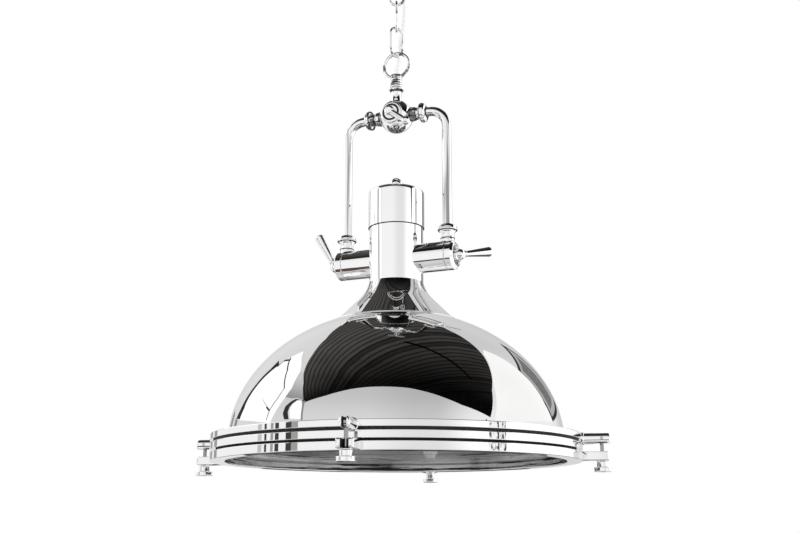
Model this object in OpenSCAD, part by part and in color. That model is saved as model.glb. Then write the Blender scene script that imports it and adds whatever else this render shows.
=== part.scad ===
// Chromed dome pendant on a chain, with a tilting yoke and a clamped glass door.
// Millimetres, +Z up, origin on the ceiling at the middle of the fixing strap.
// X runs along the trunnion arms; the hub's flat face looks towards -Y.

/* [Ceiling fitting] */
// Radius of the ceiling cup
canopy_r = 52; // [46:1:70]
// Depth of the ceiling cup
canopy_h = 30; // [26:1:50]
// Sheet thickness of the ceiling cup
canopy_wall = 1.6; // [1:0.1:3]
// Rounding of the cup's lower edge
canopy_round = 8; // [4:1:12]
// Width of the fixing strap
strap_w = 22; // [18:1:30]
// Thickness of the fixing strap
strap_t = 3; // [2:0.5:5]
// Distance between the two fixing holes
strap_holes = 70; // [50:1:72]
// Radius of a fixing hole
strap_hole_r = 2.6; // [2:0.1:3.5]
// Radius of the threaded rod above the eye
rod_r = 4; // [3:0.5:5]
// Height of the ring nut under the cup
canopy_nut_h = 5; // [3:0.5:8]
// Radius of the ring nut under the cup
canopy_nut_r = 8; // [7:0.5:9]
// Height of the nut under the strap
eye_nut_h = 6; // [4:0.5:8]
// Radius across the corners of the nut under the strap
eye_nut_r = 7.5; // [6.5:0.5:10]
// Mean radius of the ceiling eye
eye_r = 11; // [9:0.5:14]
// Wire diameter of the ceiling eye
eye_wire = 4.5; // [3:0.1:5]
// Turn of the eye about the vertical
eye_turn = -67; // [-90:1:90]
// Length of the terminal block
block_l = 18; // [14:1:19]
// Width of the terminal block
block_w = 14; // [10:1:18]
// Height of the terminal block
block_h = 13; // [8:1:16]
// Gap between the nut and the terminal block
block_gap = 2.5; // [1:0.5:3]
// Radius of the wire ways in the terminal block
block_bore_r = 2; // [1.2:0.1:2.2]

/* [Chain] */
// Wire diameter of a chain link
link_wire = 3.6; // [2.5:0.1:4.5]
// Width of a chain link over the outside
link_w = 24; // [20:0.5:30]
// Distance between the middles of a link's two bows
link_span = 44.5; // [36:0.5:60]
// Turn of the upper link about the vertical
link_top_turn = 23; // [-90:1:90]
// Turn of the middle link about the vertical
link_middle_turn = -67; // [-90:1:90]
// Turn of the lower link about the vertical
link_bottom_turn = 58; // [45:1:90]

/* [Suspension loop] */
// Mean radius of the suspension loop
loop_r = 18.75; // [16:0.25:26]
// Wire diameter of the suspension loop
loop_wire = 4.5; // [3:0.1:6]
// Rise of the barrel's cap above the loop's lowest inner edge
cap_rise = 1.5; // [0.5:0.1:3]
// Radius of the barrel's cap
barrel_cap_r = 8.5; // [8:0.1:12]
// Height of the barrel's cap
barrel_cap_h = 5; // [4:0.5:8]
// Radius of the ribbed barrel over its ribs
barrel_r = 8; // [7.8:0.1:11]
// Height of the ribbed barrel
barrel_h = 14.8; // [12:0.1:24]
// Number of ribs on the barrel
rib_count = 4; // [3:1:8]
// Depth of the grooves between the ribs
rib_depth = 0.7; // [0.3:0.1:0.7]
// Radius of the lock collar's flange
collar_r = 11.2; // [9:0.1:14]
// Height of the lock collar's flange
collar_h = 4.6; // [3:0.1:7]

/* [Hub] */
// Drop from the lock collar's underside to the hub's middle
hub_drop = 39; // [34:0.5:60]
// Radius of the round hub
hub_r = 24; // [22:0.5:28]
// Distance of the flat face from the hub's middle
hub_face = 18; // [16:0.5:20]
// Radius of the face disc
face_r = 15.5; // [13:0.5:18]
// Thickness of the face disc
face_t = 3; // [2:0.5:5]
// Inner radius of the ring recessed in the face disc
face_ring_in = 9.5; // [8.5:0.1:10]
// Outer radius of the ring recessed in the face disc
face_ring_out = 12.5; // [11:0.1:12.8]
// Depth of the ring recessed in the face disc
face_ring_depth = 1.2; // [0.5:0.1:1.5]
// Radius of the stem below the swivel
stem_r = 5.5; // [4.5:0.1:5.6]
// Radius of the swivel head on the stem
stem_head_r = 6.5; // [6.1:0.1:6.6]
// Height of the swivel head on the stem
stem_head_h = 3; // [2:0.1:4]
// Radius of the thick foot of the stem
stem_foot_r = 8; // [6.2:0.1:9]
// Gap between the stem's foot and the lock collar
stem_gap = 1.9; // [1:0.1:8]
// Radius of the wire way through stem, hub and arms
wire_way_r = 3.2; // [2:0.1:3.6]

/* [Yoke] */
// Outside radius of the yoke tube
tube_r = 6.5; // [5.5:0.1:6.8]
// Wall of the yoke tube
tube_wall = 1.5; // [1:0.1:2]
// Bend radius of the yoke tube
bend_r = 25; // [18:1:28]
// Distance of a yoke leg from the middle
leg_x = 75; // [74:0.5:90]
// Drop from the hub's middle to the tilt axis
yoke_h = 210.5; // [190:0.5:280]
// Outer edge of a hub collar's ring, from the middle
hub_collar_x = 41; // [40:0.5:43]
// Radius of the flared ring on a hub collar
hub_ring_r = 14; // [11:0.5:16]
// Length of the flared ring on a hub collar
hub_ring_l = 2; // [1:0.5:3]
// Height of the domed outer face of a hub collar
hub_dome_h = 5; // [3:0.5:6]
// Length of the flare from waist to ring on a hub collar
hub_flare_l = 5.5; // [4:0.5:7]
// Radius of a hub collar next to the hub
hub_collar_r = 10; // [8.5:0.5:11]
// Radius of a hub collar's waist
hub_waist_r = 7.6; // [7.4:0.1:8.4]
// Radius of the flared ring on a leg collar
leg_ring_r = 13.5; // [11:0.5:15]
// Length of the flared ring on a leg collar
leg_ring_l = 2; // [1:0.5:3]
// Height of the domed top of a leg collar
leg_dome_h = 6; // [4:0.5:8]
// Length of the trumpet on a leg collar
leg_trumpet_l = 6.5; // [5:0.5:10]
// Radius of a leg collar's waist
leg_waist_r = 8.9; // [8:0.1:9.2]
// Radius of a leg collar's foot
leg_foot_r = 9.4; // [9.2:0.1:10]
// Height of a leg collar's foot above the sleeve
leg_foot_h = 3; // [2:0.5:5]
// Height of the waist above the foot
leg_waist_h = 5.5; // [4:0.5:7]
// Gap under a leg collar where it overhangs the turning arm
leg_gap = 0.8; // [0.5:0.1:2]

/* [Trunnions] */
// Radius of the trunnion arms and sleeves
arm_r = 20; // [18:0.5:23]
// Distance of the pivot joint outward from the leg's middle
joint_x = 0.5; // [0:0.5:2]
// Length of a trunnion sleeve
sleeve_l = 8; // [7:0.5:12]
// Radius of the pivot shaft in the sleeve
shaft_r = 12; // [8:0.5:14]
// Room between the shaft's end and the end cap
shaft_end_gap = 2.5; // [0.5:0.1:3]
// Thickness of an end cap
end_cap_t = 4; // [3:0.5:6]
// Width of the flat edge round the recess in an end cap
end_land = 1.4; // [0.5:0.1:2]
// Length of the bevel round an end cap
end_bevel_l = 2.8; // [1:0.1:2.8]
// Radius of the recess in an end cap
end_recess_r = 15; // [12:0.5:17]
// Depth of the recess in an end cap
end_recess_d = 2.5; // [1:0.1:2.8]

/* [Levers] */
// Radius of the ball boss on a clamp lever
boss_r = 7.5; // [6:0.5:9]
// Reach of the ball's middle beyond the end cap's outer face
boss_reach = 4.5; // [3.5:0.5:8]
// Radius of the boss's foot
boss_foot_r = 6; // [5:0.5:7]
// Radius of the clamp stud on the boss
stud_r = 4; // [3:0.5:5]
// Length of the clamp stud inside the end cap and shaft
stud_l = 12; // [9:0.5:14]
// Angle between a clamp handle and the arm
handle_angle = 60; // [45:1:75]
// Length of a clamp handle from the ball's middle
handle_l = 54; // [40:1:65]
// Radius of a handle at the ball
handle_r1 = 3.75; // [2.5:0.25:4.5]
// Radius of a handle at its end
handle_r2 = 6.75; // [5:0.25:8]
// Turn of the left handle from upright towards the back
handle_left_turn = 0; // [-90:1:90]
// Turn of the right handle from upright towards the back
handle_right_turn = 75; // [-90:1:90]
// Length of the hub lever from its pivot to its ball
hub_lever_l = 31; // [27:0.5:36]
// Radius of the hub lever's rod
hub_lever_r = 4; // [2.5:0.1:4.2]
// Radius of the hub lever's ball
hub_ball_r = 6.2; // [4.5:0.1:7]
// Radius of the hub lever's pivot boss
hub_boss_r = 7; // [5.5:0.5:8]
// Height of the hub lever's pivot boss
hub_boss_h = 8.5; // [8.4:0.1:10]
// Radius of the hub lever's pivot stud
hub_stud_r = 3; // [2:0.5:4]
// Length of the hub lever's pivot stud
hub_stud_l = 10; // [8:0.5:12]
// Turn of the hub lever below the horizontal
hub_lever_turn = 37; // [0:1:90]

/* [Housing] */
// Outside radius of the housing
house_r = 37; // [34:0.5:42]
// Wall of the housing
house_wall = 2; // [1.6:0.1:3]
// Height of the housing from the neck to the cap's edge
house_h = 77; // [70:0.5:95]
// Clearance between the neck and the arms
arm_edge = 11.5; // [4:0.5:16]
// Step outward from the housing to its cap
cap_step = 1.8; // [1:0.1:2]
// Wall of the housing cap
cap_wall = 2.4; // [2.2:0.1:3]
// Height of the housing cap
cap_h = 54.5; // [40:0.5:80]
// Shoulder radius of the housing cap
cap_round = 6; // [4:0.5:16]
// Height of the housing's spigot inside the cap
spigot_h = 10; // [8:0.5:16]
// Radius of the ball finial
finial_r = 10; // [7:0.5:12]
// Rise of the finial's middle above the cap
finial_rise = 9; // [6:0.5:13]
// Radius of the finial's neck
finial_neck_r = 5; // [3.5:0.5:6]
// Radius of the finial's screw
finial_screw_r = 3; // [2:0.5:3]
// Width of the bridge bar that takes the finial's screw
bridge_w = 14; // [10:1:20]
// Thickness of the bridge bar
bridge_t = 6; // [4:0.5:8]

/* [Neck and shade] */
// Radius at the foot of the flared neck
neck_foot_r = 81; // [70:0.5:100]
// Slope of the flared neck from the vertical
neck_slope = 45; // [40:1:55]
// Slope of the neck where it leaves the housing
neck_start = 15; // [0:1:20]
// Radius of the neck's concave bend
neck_bend_r = 54; // [30:1:60]
// Sheet thickness of the neck
neck_wall = 1.6; // [1.2:0.1:2.5]
// Width of the lip at the neck's foot
neck_lip_w = 3; // [2:0.5:6]
// Thickness of the lip at the neck's foot
neck_lip_t = 1.2; // [0.8:0.1:2]
// Largest radius of the domed shade
dome_r = 218; // [214:1:228]
// Rise of the shade's curve above its widest level
dome_rise = 174.5; // [140:0.5:220]
// Height of the shade's widest level above the rim's underside
dome_level = 23.5; // [10:0.5:26]
// Sheet thickness of the shade
dome_wall = 1.6; // [1:0.1:3]
// Lap of the neck's foot over the opening in the shade
neck_lap = 9; // [6:0.5:20]

/* [Rim] */
// Step outward from the shade's largest radius to the rim
rim_step = 22; // [16:0.5:40]
// Height of the door ring
door_h = 9.5; // [9:0.5:12]
// Width of the door ring
door_w = 20; // [14:0.5:30]
// Height of the middle band
mid_h = 9; // [6:0.5:14]
// Height of the groove between the middle and upper bands
groove_h = 3.5; // [2:0.1:6]
// Height of the upper band
top_h = 8; // [5:0.5:14]
// Depth of the two grooves
groove_d = 7; // [3:0.5:8]
// Chamfer on the bands
band_chamfer = 1.2; // [0.4:0.1:2]
// Width of the seat for the shade's edge
seat_w = 5.6; // [3:0.1:12]
// Thickness of the glass pane and of the gasket round it
glass_t = 3.5; // [2.5:0.1:6]
// Distance from the rim's outside in to the glass pane's edge
glass_edge = 12; // [10:0.5:13]

/* [Clamps] */
// Turn of the four clamps about the vertical
clamp_turn = 11.4; // [0:0.1:45]
// Height of the clamp studs' axis above the rim's underside
clevis_h = 27.5; // [27:0.5:28.5]
// Radius of a clamp stud
clevis_r = 7; // [6:0.1:7.5]
// Reach of a clamp stud beyond the rim
clevis_reach = 35; // [32:0.5:40]
// Width of the slot in a clamp stud
clevis_slot = 6; // [5:0.1:6.2]
// Room between the swing bolt's eye and the end of its slot
eye_room = 4.4; // [1:0.1:8]
// Reach of the cross pin beyond the rim
pin_reach = 24; // [22:0.5:25]
// Radius of the cross pin
pin_r = 2; // [1.5:0.1:2.5]
// Radius of the swing bolt's eye
bolt_eye_r = 5.6; // [4.6:0.1:6]
// Radius of the swing bolt's shank
bolt_r = 2.5; // [2:0.1:2.6]
// Length of the nut left empty below the bolt's end
bolt_recess = 2; // [1:0.5:4]
// Width of a lug on the door ring
lug_w = 20.5; // [17:0.5:24]
// Height of a lug on the door ring
lug_h = 11; // [8:0.5:12]
// Reach of a lug beyond the rim
lug_reach = 32.5; // [31:0.5:36]
// Width of the slot in a lug
lug_slot = 9; // [6:0.5:9]
// Rounding of a lug's corners
lug_round = 3; // [1:0.5:4.5]
// Radius of the thumb nut's barrel
nut_r = 7.25; // [6:0.25:9]
// Height of the thumb nut's barrel
nut_h = 7; // [5:0.5:10]
// Radius of the thumb nut's flange
nut_flange_r = 11; // [9.5:0.5:13]
// Height of the thumb nut's flange
nut_flange_h = 5.7; // [3:0.1:8]
// Thickness of the washer above the thumb nut
washer_t = 1; // [0.8:0.1:2]

/* [Lampholder] */
// Height of the holder plate above the neck's top
plate_rise = 16; // [12:0.5:18]
// Thickness of the holder plate
plate_t = 2; // [1.5:0.5:4]
// Radius of the threaded nipple
nipple_r = 5; // [4.5:0.5:6]
// Length of the nipple below the holder plate
nipple_l = 8; // [4:0.5:12]
// Length of the nipple above the holder plate
nipple_top = 5; // [3:0.5:8]
// Outside radius of the lampholder
holder_r = 21; // [19:0.5:24]
// Height of the lampholder
holder_h = 60; // [54:0.5:70]
// Wall of the lampholder
holder_wall = 1.6; // [1.2:0.1:3]
// Thickness of the lampholder's top
holder_top = 6; // [4:0.5:8]
// Radius of the screw cap on the bulb
bulb_cap_r = 13.2; // [13:0.1:13.4]
// Height of the screw cap on the bulb
bulb_cap_h = 26; // [22:0.5:28]
// Sheet thickness of the bulb's screw cap
bulb_cap_wall = 0.8; // [0.5:0.1:1.2]
// Radius of the bulb
bulb_r = 30; // [22:0.5:40]
// Distance of the bulb's middle below the lampholder
bulb_drop = 54; // [48:0.5:70]
// Wall of the bulb
bulb_wall = 1; // [0.6:0.1:1.6]
// Radius of the bulb's neck
bulb_neck_r = 12.2; // [11:0.1:12.3]

/* [Cable] */
// Diameter of the clear cable
cable_d = 6; // [5:0.5:7]
// Radius of the cable gland's flange
gland_r = 6; // [5:0.5:6.5]
// Height of the cable gland below the cup
gland_h = 6; // [4:0.5:10]
// Radius of the gland's spigot
gland_spigot_r = 4.5; // [3.5:0.5:5]
// Radius of the wire hole at each end of the cable
cable_hole_r = 2.5; // [1.5:0.1:2.5]

/* [Fits] */
// Gap between links that hang in each other
chain_gap = 0.3; // [0.2:0.05:0.6]
// Radial clearance of a running fit
run_fit = 0.05; // [0.02:0.01:0.1]
// Gap between faces that move past each other
face_gap = 0.3; // [0.2:0.05:0.6]
// Clearance of a piece that drops into another
drop_fit = 0.5; // [0.2:0.1:1]
// Clearance of a slip fit
slip_fit = 0.1; // [0.05:0.05:0.3]
// Room between the strap's ends and the cup
strap_gap = 4; // [2:0.5:5]
// Radial room round a screw that passes through
screw_room = 0.4; // [0.2:0.1:0.8]

/* [Hidden] */
$fn = 96;
eps = 0.01;
far = 400;

chrome = [0.82, 0.82, 0.84];
steel = [0.62, 0.63, 0.65];
brass = [0.8, 0.66, 0.34];
rubber = [0.12, 0.12, 0.12];
ceramic = [0.93, 0.92, 0.88];
plastic = [0.9, 0.9, 0.88];
clear = [0.82, 0.9, 0.92, 0.4];

// The cable's route, from the barrel's cap up to the gland under the ceiling cup
cable_route = [
    [0, 0, -210], [0, 0.3, -204.5], [0, 1.6, -199], [0, 3.8, -193.5], [0, 6.2, -188],
    [0, 8.5, -182.5], [0, 10.3, -177], [0, 11.3, -171.5], [0.1, 11.6, -166], [0.5, 11.7, -156],
    [1.5, 12, -146], [3.2, 12.7, -136], [4.8, 13.4, -124], [5.8, 13.9, -110], [6, 14, -96],
    [6, 14, -80], [6, 14, -60], [6, 14, -36]
];
cable_sides = 10;
gland_xy = [cable_route[len(cable_route) - 1][0], cable_route[len(cable_route) - 1][1]];

// Heights, downward from the ceiling
cup_z = -canopy_h;
eye_top_z = cup_z - canopy_nut_h - eye_wire / 2;
eye_z = eye_top_z - eye_r;
eye_low_z = eye_z - eye_r;
link_r = (link_w - link_wire) / 2;
link_step = link_span - link_wire - chain_gap;
link_top_z = eye_low_z + (eye_wire + link_wire) / 2 + chain_gap;
link_middle_z = link_top_z - link_step;
link_bottom_z = link_middle_z - link_step;
loop_top_z = link_bottom_z - link_span + (link_wire + loop_wire) / 2 + chain_gap;
loop_z = loop_top_z - loop_r;
barrel_top_z = loop_z - loop_r + loop_wire / 2 + cap_rise;
barrel_z = barrel_top_z - barrel_cap_h;
collar_top_z = barrel_z - barrel_h;
collar_z = collar_top_z - collar_h;
hub_z = collar_z - hub_drop;
tilt_z = hub_z - yoke_h;

// Swivel inside the barrel
swivel_bore_r = stem_head_r + 2 * run_fit;
swivel_top_z = barrel_z - face_gap;
head_top_z = swivel_top_z - face_gap;
head_low_z = head_top_z - stem_head_h;
spigot_top_z = head_low_z - face_gap;

// Trunnions, outward along X from the middle
sleeve_x = leg_x + joint_x;
sleeve_end_x = sleeve_x + sleeve_l;
shoulder_x = sleeve_x - face_gap;
shaft_end_x = sleeve_end_x - shaft_end_gap;
cap_end_x = sleeve_end_x + end_cap_t;
recess_x = cap_end_x - end_recess_d;
boss_x = cap_end_x + boss_reach;
tube_in_r = tube_r - tube_wall;
leg_foot_z = tilt_z + arm_r + leg_foot_h;
leg_waist_z = leg_foot_z + leg_waist_h;
leg_ring_z = leg_waist_z + leg_trumpet_l;
leg_edge_z = leg_ring_z + leg_ring_l;
leg_top_z = leg_edge_z + leg_dome_h;
hub_ring_x = hub_collar_x - hub_ring_l;
hub_waist_x = hub_ring_x - hub_flare_l;
hub_end_x = hub_collar_x + hub_dome_h;
dome_end_r = tube_r + 1;
hub_collar_bend = 3;
tube_x = hub_r + hub_collar_bend;
collar_edge = 1;
trumpet_steps = 8;

// Head, upward from the rim's underside
rim_r = dome_r + rim_step;
glass_r = rim_r - glass_edge;
gasket_z = door_h;
mid_z = gasket_z + glass_t;
groove_z = mid_z + mid_h;
top_z = groove_z + groove_h;
rim_h = top_z + top_h;
groove_r = rim_r - groove_d;
skirt_r = dome_r_at(rim_h);
band_in_r = skirt_r - seat_w;
dome_hole_r = neck_foot_r - neck_lap;
neck_foot_z = dome_h_at(neck_foot_r);
neck_bend_h = neck_bend_r * (sin(neck_slope) - sin(neck_start));
neck_bend_w = neck_bend_r * (cos(neck_start) - cos(neck_slope));
neck_cone_h = (neck_foot_r - house_r - neck_bend_w) / tan(neck_slope);
neck_top_z = neck_foot_z + neck_cone_h + neck_bend_h;
arm_z = neck_top_z + arm_edge + arm_r;
house_top_z = neck_top_z + house_h;
cap_r = house_r + cap_step;
spigot_r = cap_r - cap_wall - slip_fit;
house_in_r = house_r - house_wall;
cap_top_z = house_top_z + cap_h;
bridge_z = house_top_z + spigot_h - bridge_t;
finial_z = cap_top_z + finial_rise;
rim_z = tilt_z - arm_z;
door_in_r = rim_r - door_w;
dome_steps = 28;
neck_steps = 10;

// Lampholder, in the head's heights
plate_z = neck_top_z + plate_rise;
holder_top_z = plate_z - nipple_l;
holder_z = holder_top_z - holder_h;
insert_r = holder_r - holder_wall;
insert_l = holder_h - holder_top;
insert_gap = 2;
bulb_cap_z = holder_z + insert_gap;
socket_r = bulb_cap_r + drop_fit;
bulb_z = holder_z - bulb_drop;
bulb_steps = 20;

// Clamps, outward from the middle and downward from the cross pin
pin_x = rim_r + pin_reach;
bolt_eye_t = clevis_slot - 2 * face_gap;
seat_d = clevis_h + face_gap;
nut_top_d = seat_d + washer_t;
nut_low_d = nut_top_d + nut_h;
nut_end_d = nut_low_d + nut_flange_h;
bolt_end_d = nut_end_d - bolt_recess;
lug_seat_room = 1.5;
lug_seat_x = pin_x - nut_r - lug_seat_room;
lug_root = 4;
nut_edge = 0.8;

// Radius of the shade's outside at a height above the rim's underside, and the height at a radius
function dome_r_at(h) = dome_r * sqrt(1 - pow((h - dome_level) / dome_rise, 2));
function dome_h_at(r) = dome_level + dome_rise * sqrt(1 - pow(r / dome_r, 2));
// Points along an ellipse from one angle to another
function oval(a, c, z, t1, t2, n) = [
    for (i = [0:n]) let (t = t1 + (t2 - t1) * i / n) [a * cos(t), z + c * sin(t)]
];
// Points along a circle's arc in a profile
function arc(x, z, r, t1, t2, n) = oval_at(x, z, r, t1, t2, n);
function oval_at(x, z, r, t1, t2, n) = [
    for (i = [0:n]) let (t = t1 + (t2 - t1) * i / n) [x + r * cos(t), z + r * sin(t)]
];
// Unit vector, and the cable's direction at a point of its route
function unit(v) = v / norm(v);
function along(p, i) = unit(p[min(i + 1, len(p) - 1)] - p[max(i - 1, 0)]);
// One ring of points round the cable
function cable_ring(p, i, r, n) = let (
    t = i == 0 || i == len(p) - 1 ? [0, 0, 1] : along(p, i),
    u = unit(cross([0, 1, 0], t)),
    v = cross(t, u)
) [for (k = [0:n - 1]) let (a = 360 * k / n) p[i] + r * (u * cos(a) + v * sin(a))];

module swept_tube(p, r, n) {
    m = len(p);
    points = [for (i = [0:m - 1]) each cable_ring(p, i, r, n)];
    sides_a = [for (i = [0:m - 2], k = [0:n - 1]) [i * n + k, (i + 1) * n + k, (i + 1) * n + (k + 1) % n]];
    sides_b = [for (i = [0:m - 2], k = [0:n - 1]) [i * n + k, (i + 1) * n + (k + 1) % n, i * n + (k + 1) % n]];
    low = [for (k = [1:n - 2]) [0, k, k + 1]];
    high = [for (k = [1:n - 2]) [(m - 1) * n, (m - 1) * n + k + 1, (m - 1) * n + k]];
    polyhedron(points, concat(sides_a, sides_b, low, high));
}

// A profile of radius and position along X, turned about the X axis
module turned_x(points) {
    rotate([0, 90, 0])
        rotate_extrude()
            polygon(points);
}

module both_sides() {
    children();
    mirror([1, 0, 0])
        children();
}

module rod_x(r, x1, x2) {
    translate([x1, 0, 0])
        rotate([0, 90, 0])
            cylinder(r = r, h = x2 - x1);
}

module torus(r, wire) {
    rotate([90, 0, 0])
        rotate_extrude()
            translate([r, 0])
                circle(d = wire);
}

module head() {
    translate([0, 0, rim_z])
        children();
}

module ring_band(r1, r2, z1, z2, edge) {
    rotate_extrude()
        polygon([
            [r1, z1], [r2 - edge, z1], [r2, z1 + edge], [r2, z2 - edge], [r2 - edge, z2], [r1, z2]
        ]);
}

module at_clamp(i) {
    head()
        rotate([0, 0, clamp_turn + 90 * i])
            children();
}

module at_pin(i) {
    at_clamp(i)
        translate([pin_x, 0, clevis_h])
            children();
}

// Ceiling fitting
module ceiling_strap() {
    color(steel)
        difference() {
            intersection() {
                translate([-far / 2, -strap_w / 2, -strap_t])
                    cube([far, strap_w, strap_t]);
                translate([0, 0, -far / 2])
                    cylinder(r = canopy_r - canopy_wall - strap_gap, h = far);
            }
            for (x = [-strap_holes / 2, strap_holes / 2])
                translate([x, 0, -strap_t - eps])
                    cylinder(r = strap_hole_r, h = strap_t + 2 * eps);
            translate([0, 0, -strap_t - eps])
                cylinder(r = rod_r, h = strap_t + 2 * eps);
        }
}

module canopy_cup() {
    out = arc(canopy_r - canopy_round, cup_z + canopy_round, canopy_round, 0, -90, 6);
    inside = arc(canopy_r - canopy_round, cup_z + canopy_round, canopy_round - canopy_wall, -90, 0, 6);
    color(chrome)
        difference() {
            rotate_extrude()
                polygon(concat(
                    [[canopy_r - canopy_wall, 0], [canopy_r, 0]], out,
                    [[rod_r, cup_z], [rod_r, cup_z + canopy_wall]], inside
                ));
            translate([gland_xy[0], gland_xy[1], cup_z - eps])
                cylinder(r = gland_spigot_r, h = canopy_wall + 2 * eps);
        }
}

module canopy_nut() {
    color(chrome)
        difference() {
            rotate_extrude()
                polygon([
                    [rod_r, cup_z - canopy_nut_h], [canopy_nut_r - collar_edge, cup_z - canopy_nut_h],
                    [canopy_nut_r, cup_z - canopy_nut_h + collar_edge], [canopy_nut_r, cup_z], [rod_r, cup_z]
                ]);
            eye_torus();
        }
}

module eye_torus() {
    translate([0, 0, eye_z])
        rotate([0, 0, eye_turn])
            torus(eye_r, eye_wire);
}

module ceiling_eye() {
    color(chrome)
        union() {
            eye_torus();
            translate([0, 0, eye_top_z])
                cylinder(r = rod_r, h = -eye_top_z - strap_t / 2);
        }
}

module eye_nut() {
    color(steel)
        translate([0, 0, -strap_t - eye_nut_h])
            difference() {
                cylinder(r = eye_nut_r, h = eye_nut_h, $fn = 6);
                translate([0, 0, -eps])
                    cylinder(r = rod_r, h = eye_nut_h + 2 * eps);
            }
}

module cable_gland() {
    color(plastic)
        translate([gland_xy[0], gland_xy[1], cup_z - gland_h])
            difference() {
                union() {
                    cylinder(r = gland_r, h = gland_h);
                    cylinder(r = gland_spigot_r, h = gland_h + 2 * canopy_wall);
                }
                translate([0, 0, -eps])
                    cylinder(r = cable_hole_r, h = far);
            }
}

module terminal_block() {
    color(plastic)
        translate([eye_nut_r + block_gap, -block_w / 2, -strap_t - block_h])
            difference() {
                cube([block_l, block_w, block_h]);
                for (k = [0:2])
                    translate([block_l * (2 * k + 1) / 6, -eps, block_h / 2])
                        rotate([-90, 0, 0])
                            cylinder(r = block_bore_r, h = block_w + 2 * eps);
            }
}

module cable() {
    color(clear)
        swept_tube(cable_route, cable_d / 2, cable_sides);
}

// Chain: each link is a round bow at either end joined by two straight sides
module chain_link() {
    for (z = [0, -link_span + 2 * link_r], up = [z == 0 ? 1 : -1])
        translate([0, 0, z - link_r])
            intersection() {
                torus(link_r, link_wire);
                translate([-link_w, -link_w, up > 0 ? 0 : -2 * link_w])
                    cube(2 * link_w);
            }
    for (x = [-link_r, link_r])
        translate([x, 0, -link_span + link_r])
            cylinder(d = link_wire, h = link_span - 2 * link_r);
}

module link_at(z, turn) {
    color(chrome)
        translate([0, 0, z])
            rotate([0, 0, turn])
                chain_link();
}

module link_top() {
    link_at(link_top_z, link_top_turn);
}

module link_middle() {
    link_at(link_middle_z, link_middle_turn);
}

module link_bottom() {
    link_at(link_bottom_z, link_bottom_turn);
}

// Suspension loop and its swivel
module loop_ring() {
    color(chrome)
        difference() {
            translate([0, 0, loop_z])
                torus(loop_r, loop_wire);
            translate([0, 0, barrel_top_z - far])
                cylinder(r = barrel_cap_r, h = far);
        }
}

module loop_barrel() {
    step = barrel_h / rib_count;
    ribs = [
        for (i = [0:rib_count - 1], k = [0:3])
            [k == 0 || k == 3 ? barrel_r - rib_depth : barrel_r, collar_top_z + step * (i + k / 3)]
    ];
    color(chrome)
        difference() {
            rotate_extrude()
                polygon(concat(
                    [[cable_hole_r, barrel_top_z], [cable_hole_r, swivel_top_z], [swivel_bore_r, swivel_top_z],
                     [swivel_bore_r, collar_top_z]],
                    ribs,
                    [[barrel_r - rib_depth, barrel_z], [barrel_cap_r, barrel_z], [barrel_cap_r, barrel_top_z]]
                ));
        }
}

module loop_collar() {
    in_r = stem_r + run_fit;
    color(chrome)
        rotate_extrude()
            polygon([
                [in_r, collar_z], [collar_r - collar_edge, collar_z], [collar_r, collar_z + collar_edge],
                [collar_r, collar_top_z - collar_edge], [collar_r - collar_edge, collar_top_z],
                [swivel_bore_r, collar_top_z], [swivel_bore_r, spigot_top_z], [in_r, spigot_top_z]
            ]);
}

// Hub
module hub_solid() {
    translate([0, 0, hub_z])
        sphere(r = hub_r);
}

module hub_ball() {
    color(chrome)
        difference() {
            hub_solid();
            translate([-far / 2, -hub_face - far, hub_z - far / 2])
                cube([far, far, far]);
            translate([0, 0, hub_z])
                cylinder(r = wire_way_r, h = far);
            translate([0, 0, hub_z])
                rod_x(wire_way_r, -far, far);
            translate([0, -hub_face - eps, hub_z])
                rotate([-90, 0, 0])
                    cylinder(r = hub_stud_r + run_fit, h = hub_stud_l);
        }
}

module hub_stem() {
    foot_z = collar_z - stem_gap;
    color(chrome)
        difference() {
            rotate_extrude()
                polygon([
                    [wire_way_r, hub_z], [stem_foot_r, hub_z], [stem_foot_r, foot_z], [stem_r, foot_z],
                    [stem_r, head_low_z], [stem_head_r, head_low_z], [stem_head_r, head_top_z],
                    [wire_way_r, head_top_z]
                ]);
            hub_solid();
        }
}

module hub_face_disc() {
    color(chrome)
        translate([0, -hub_face, hub_z])
            rotate([90, 0, 0])
                rotate_extrude()
                    polygon([
                        [hub_stud_r + run_fit, 0], [face_r, 0], [face_r, face_t - collar_edge],
                        [face_r - collar_edge, face_t], [face_ring_out, face_t],
                        [face_ring_out, face_t - face_ring_depth], [face_ring_in, face_t - face_ring_depth],
                        [face_ring_in, face_t], [hub_stud_r + run_fit, face_t]
                    ]);
}

module hub_lever() {
    turn = [0, hub_lever_turn, 0];
    color(chrome)
        translate([0, -hub_face, hub_z])
            rotate(turn)
                union() {
                    translate([0, -face_t - face_gap, 0])
                        rotate([90, 0, 0])
                            cylinder(r = hub_boss_r, h = hub_boss_h);
                    translate([0, hub_stud_l - face_gap, 0])
                        rotate([90, 0, 0])
                            cylinder(r = hub_stud_r, h = hub_stud_l + face_t + face_gap);
                    translate([0, -face_t - face_gap - hub_boss_h / 2, 0]) {
                        rod_x(hub_lever_r, 0, hub_lever_l);
                        translate([hub_lever_l, 0, 0])
                            sphere(r = hub_ball_r);
                    }
                }
}

// Yoke
module hub_collars() {
    flare = arc_flare(hub_waist_x, hub_waist_r, hub_ring_x, hub_ring_r);
    color(chrome)
        both_sides()
            translate([0, 0, hub_z])
                difference() {
                    turned_x(concat(
                        [[wire_way_r, 0], [hub_collar_r, 0], [hub_collar_r, hub_waist_x - hub_collar_bend]],
                        flare,
                        arc_crown(hub_collar_x, hub_ring_r, hub_end_x, dome_end_r),
                        [[tube_r, hub_end_x], [tube_r, tube_x], [wire_way_r, tube_x]]
                    ));
                    sphere(r = hub_r);
                }
}
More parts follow.
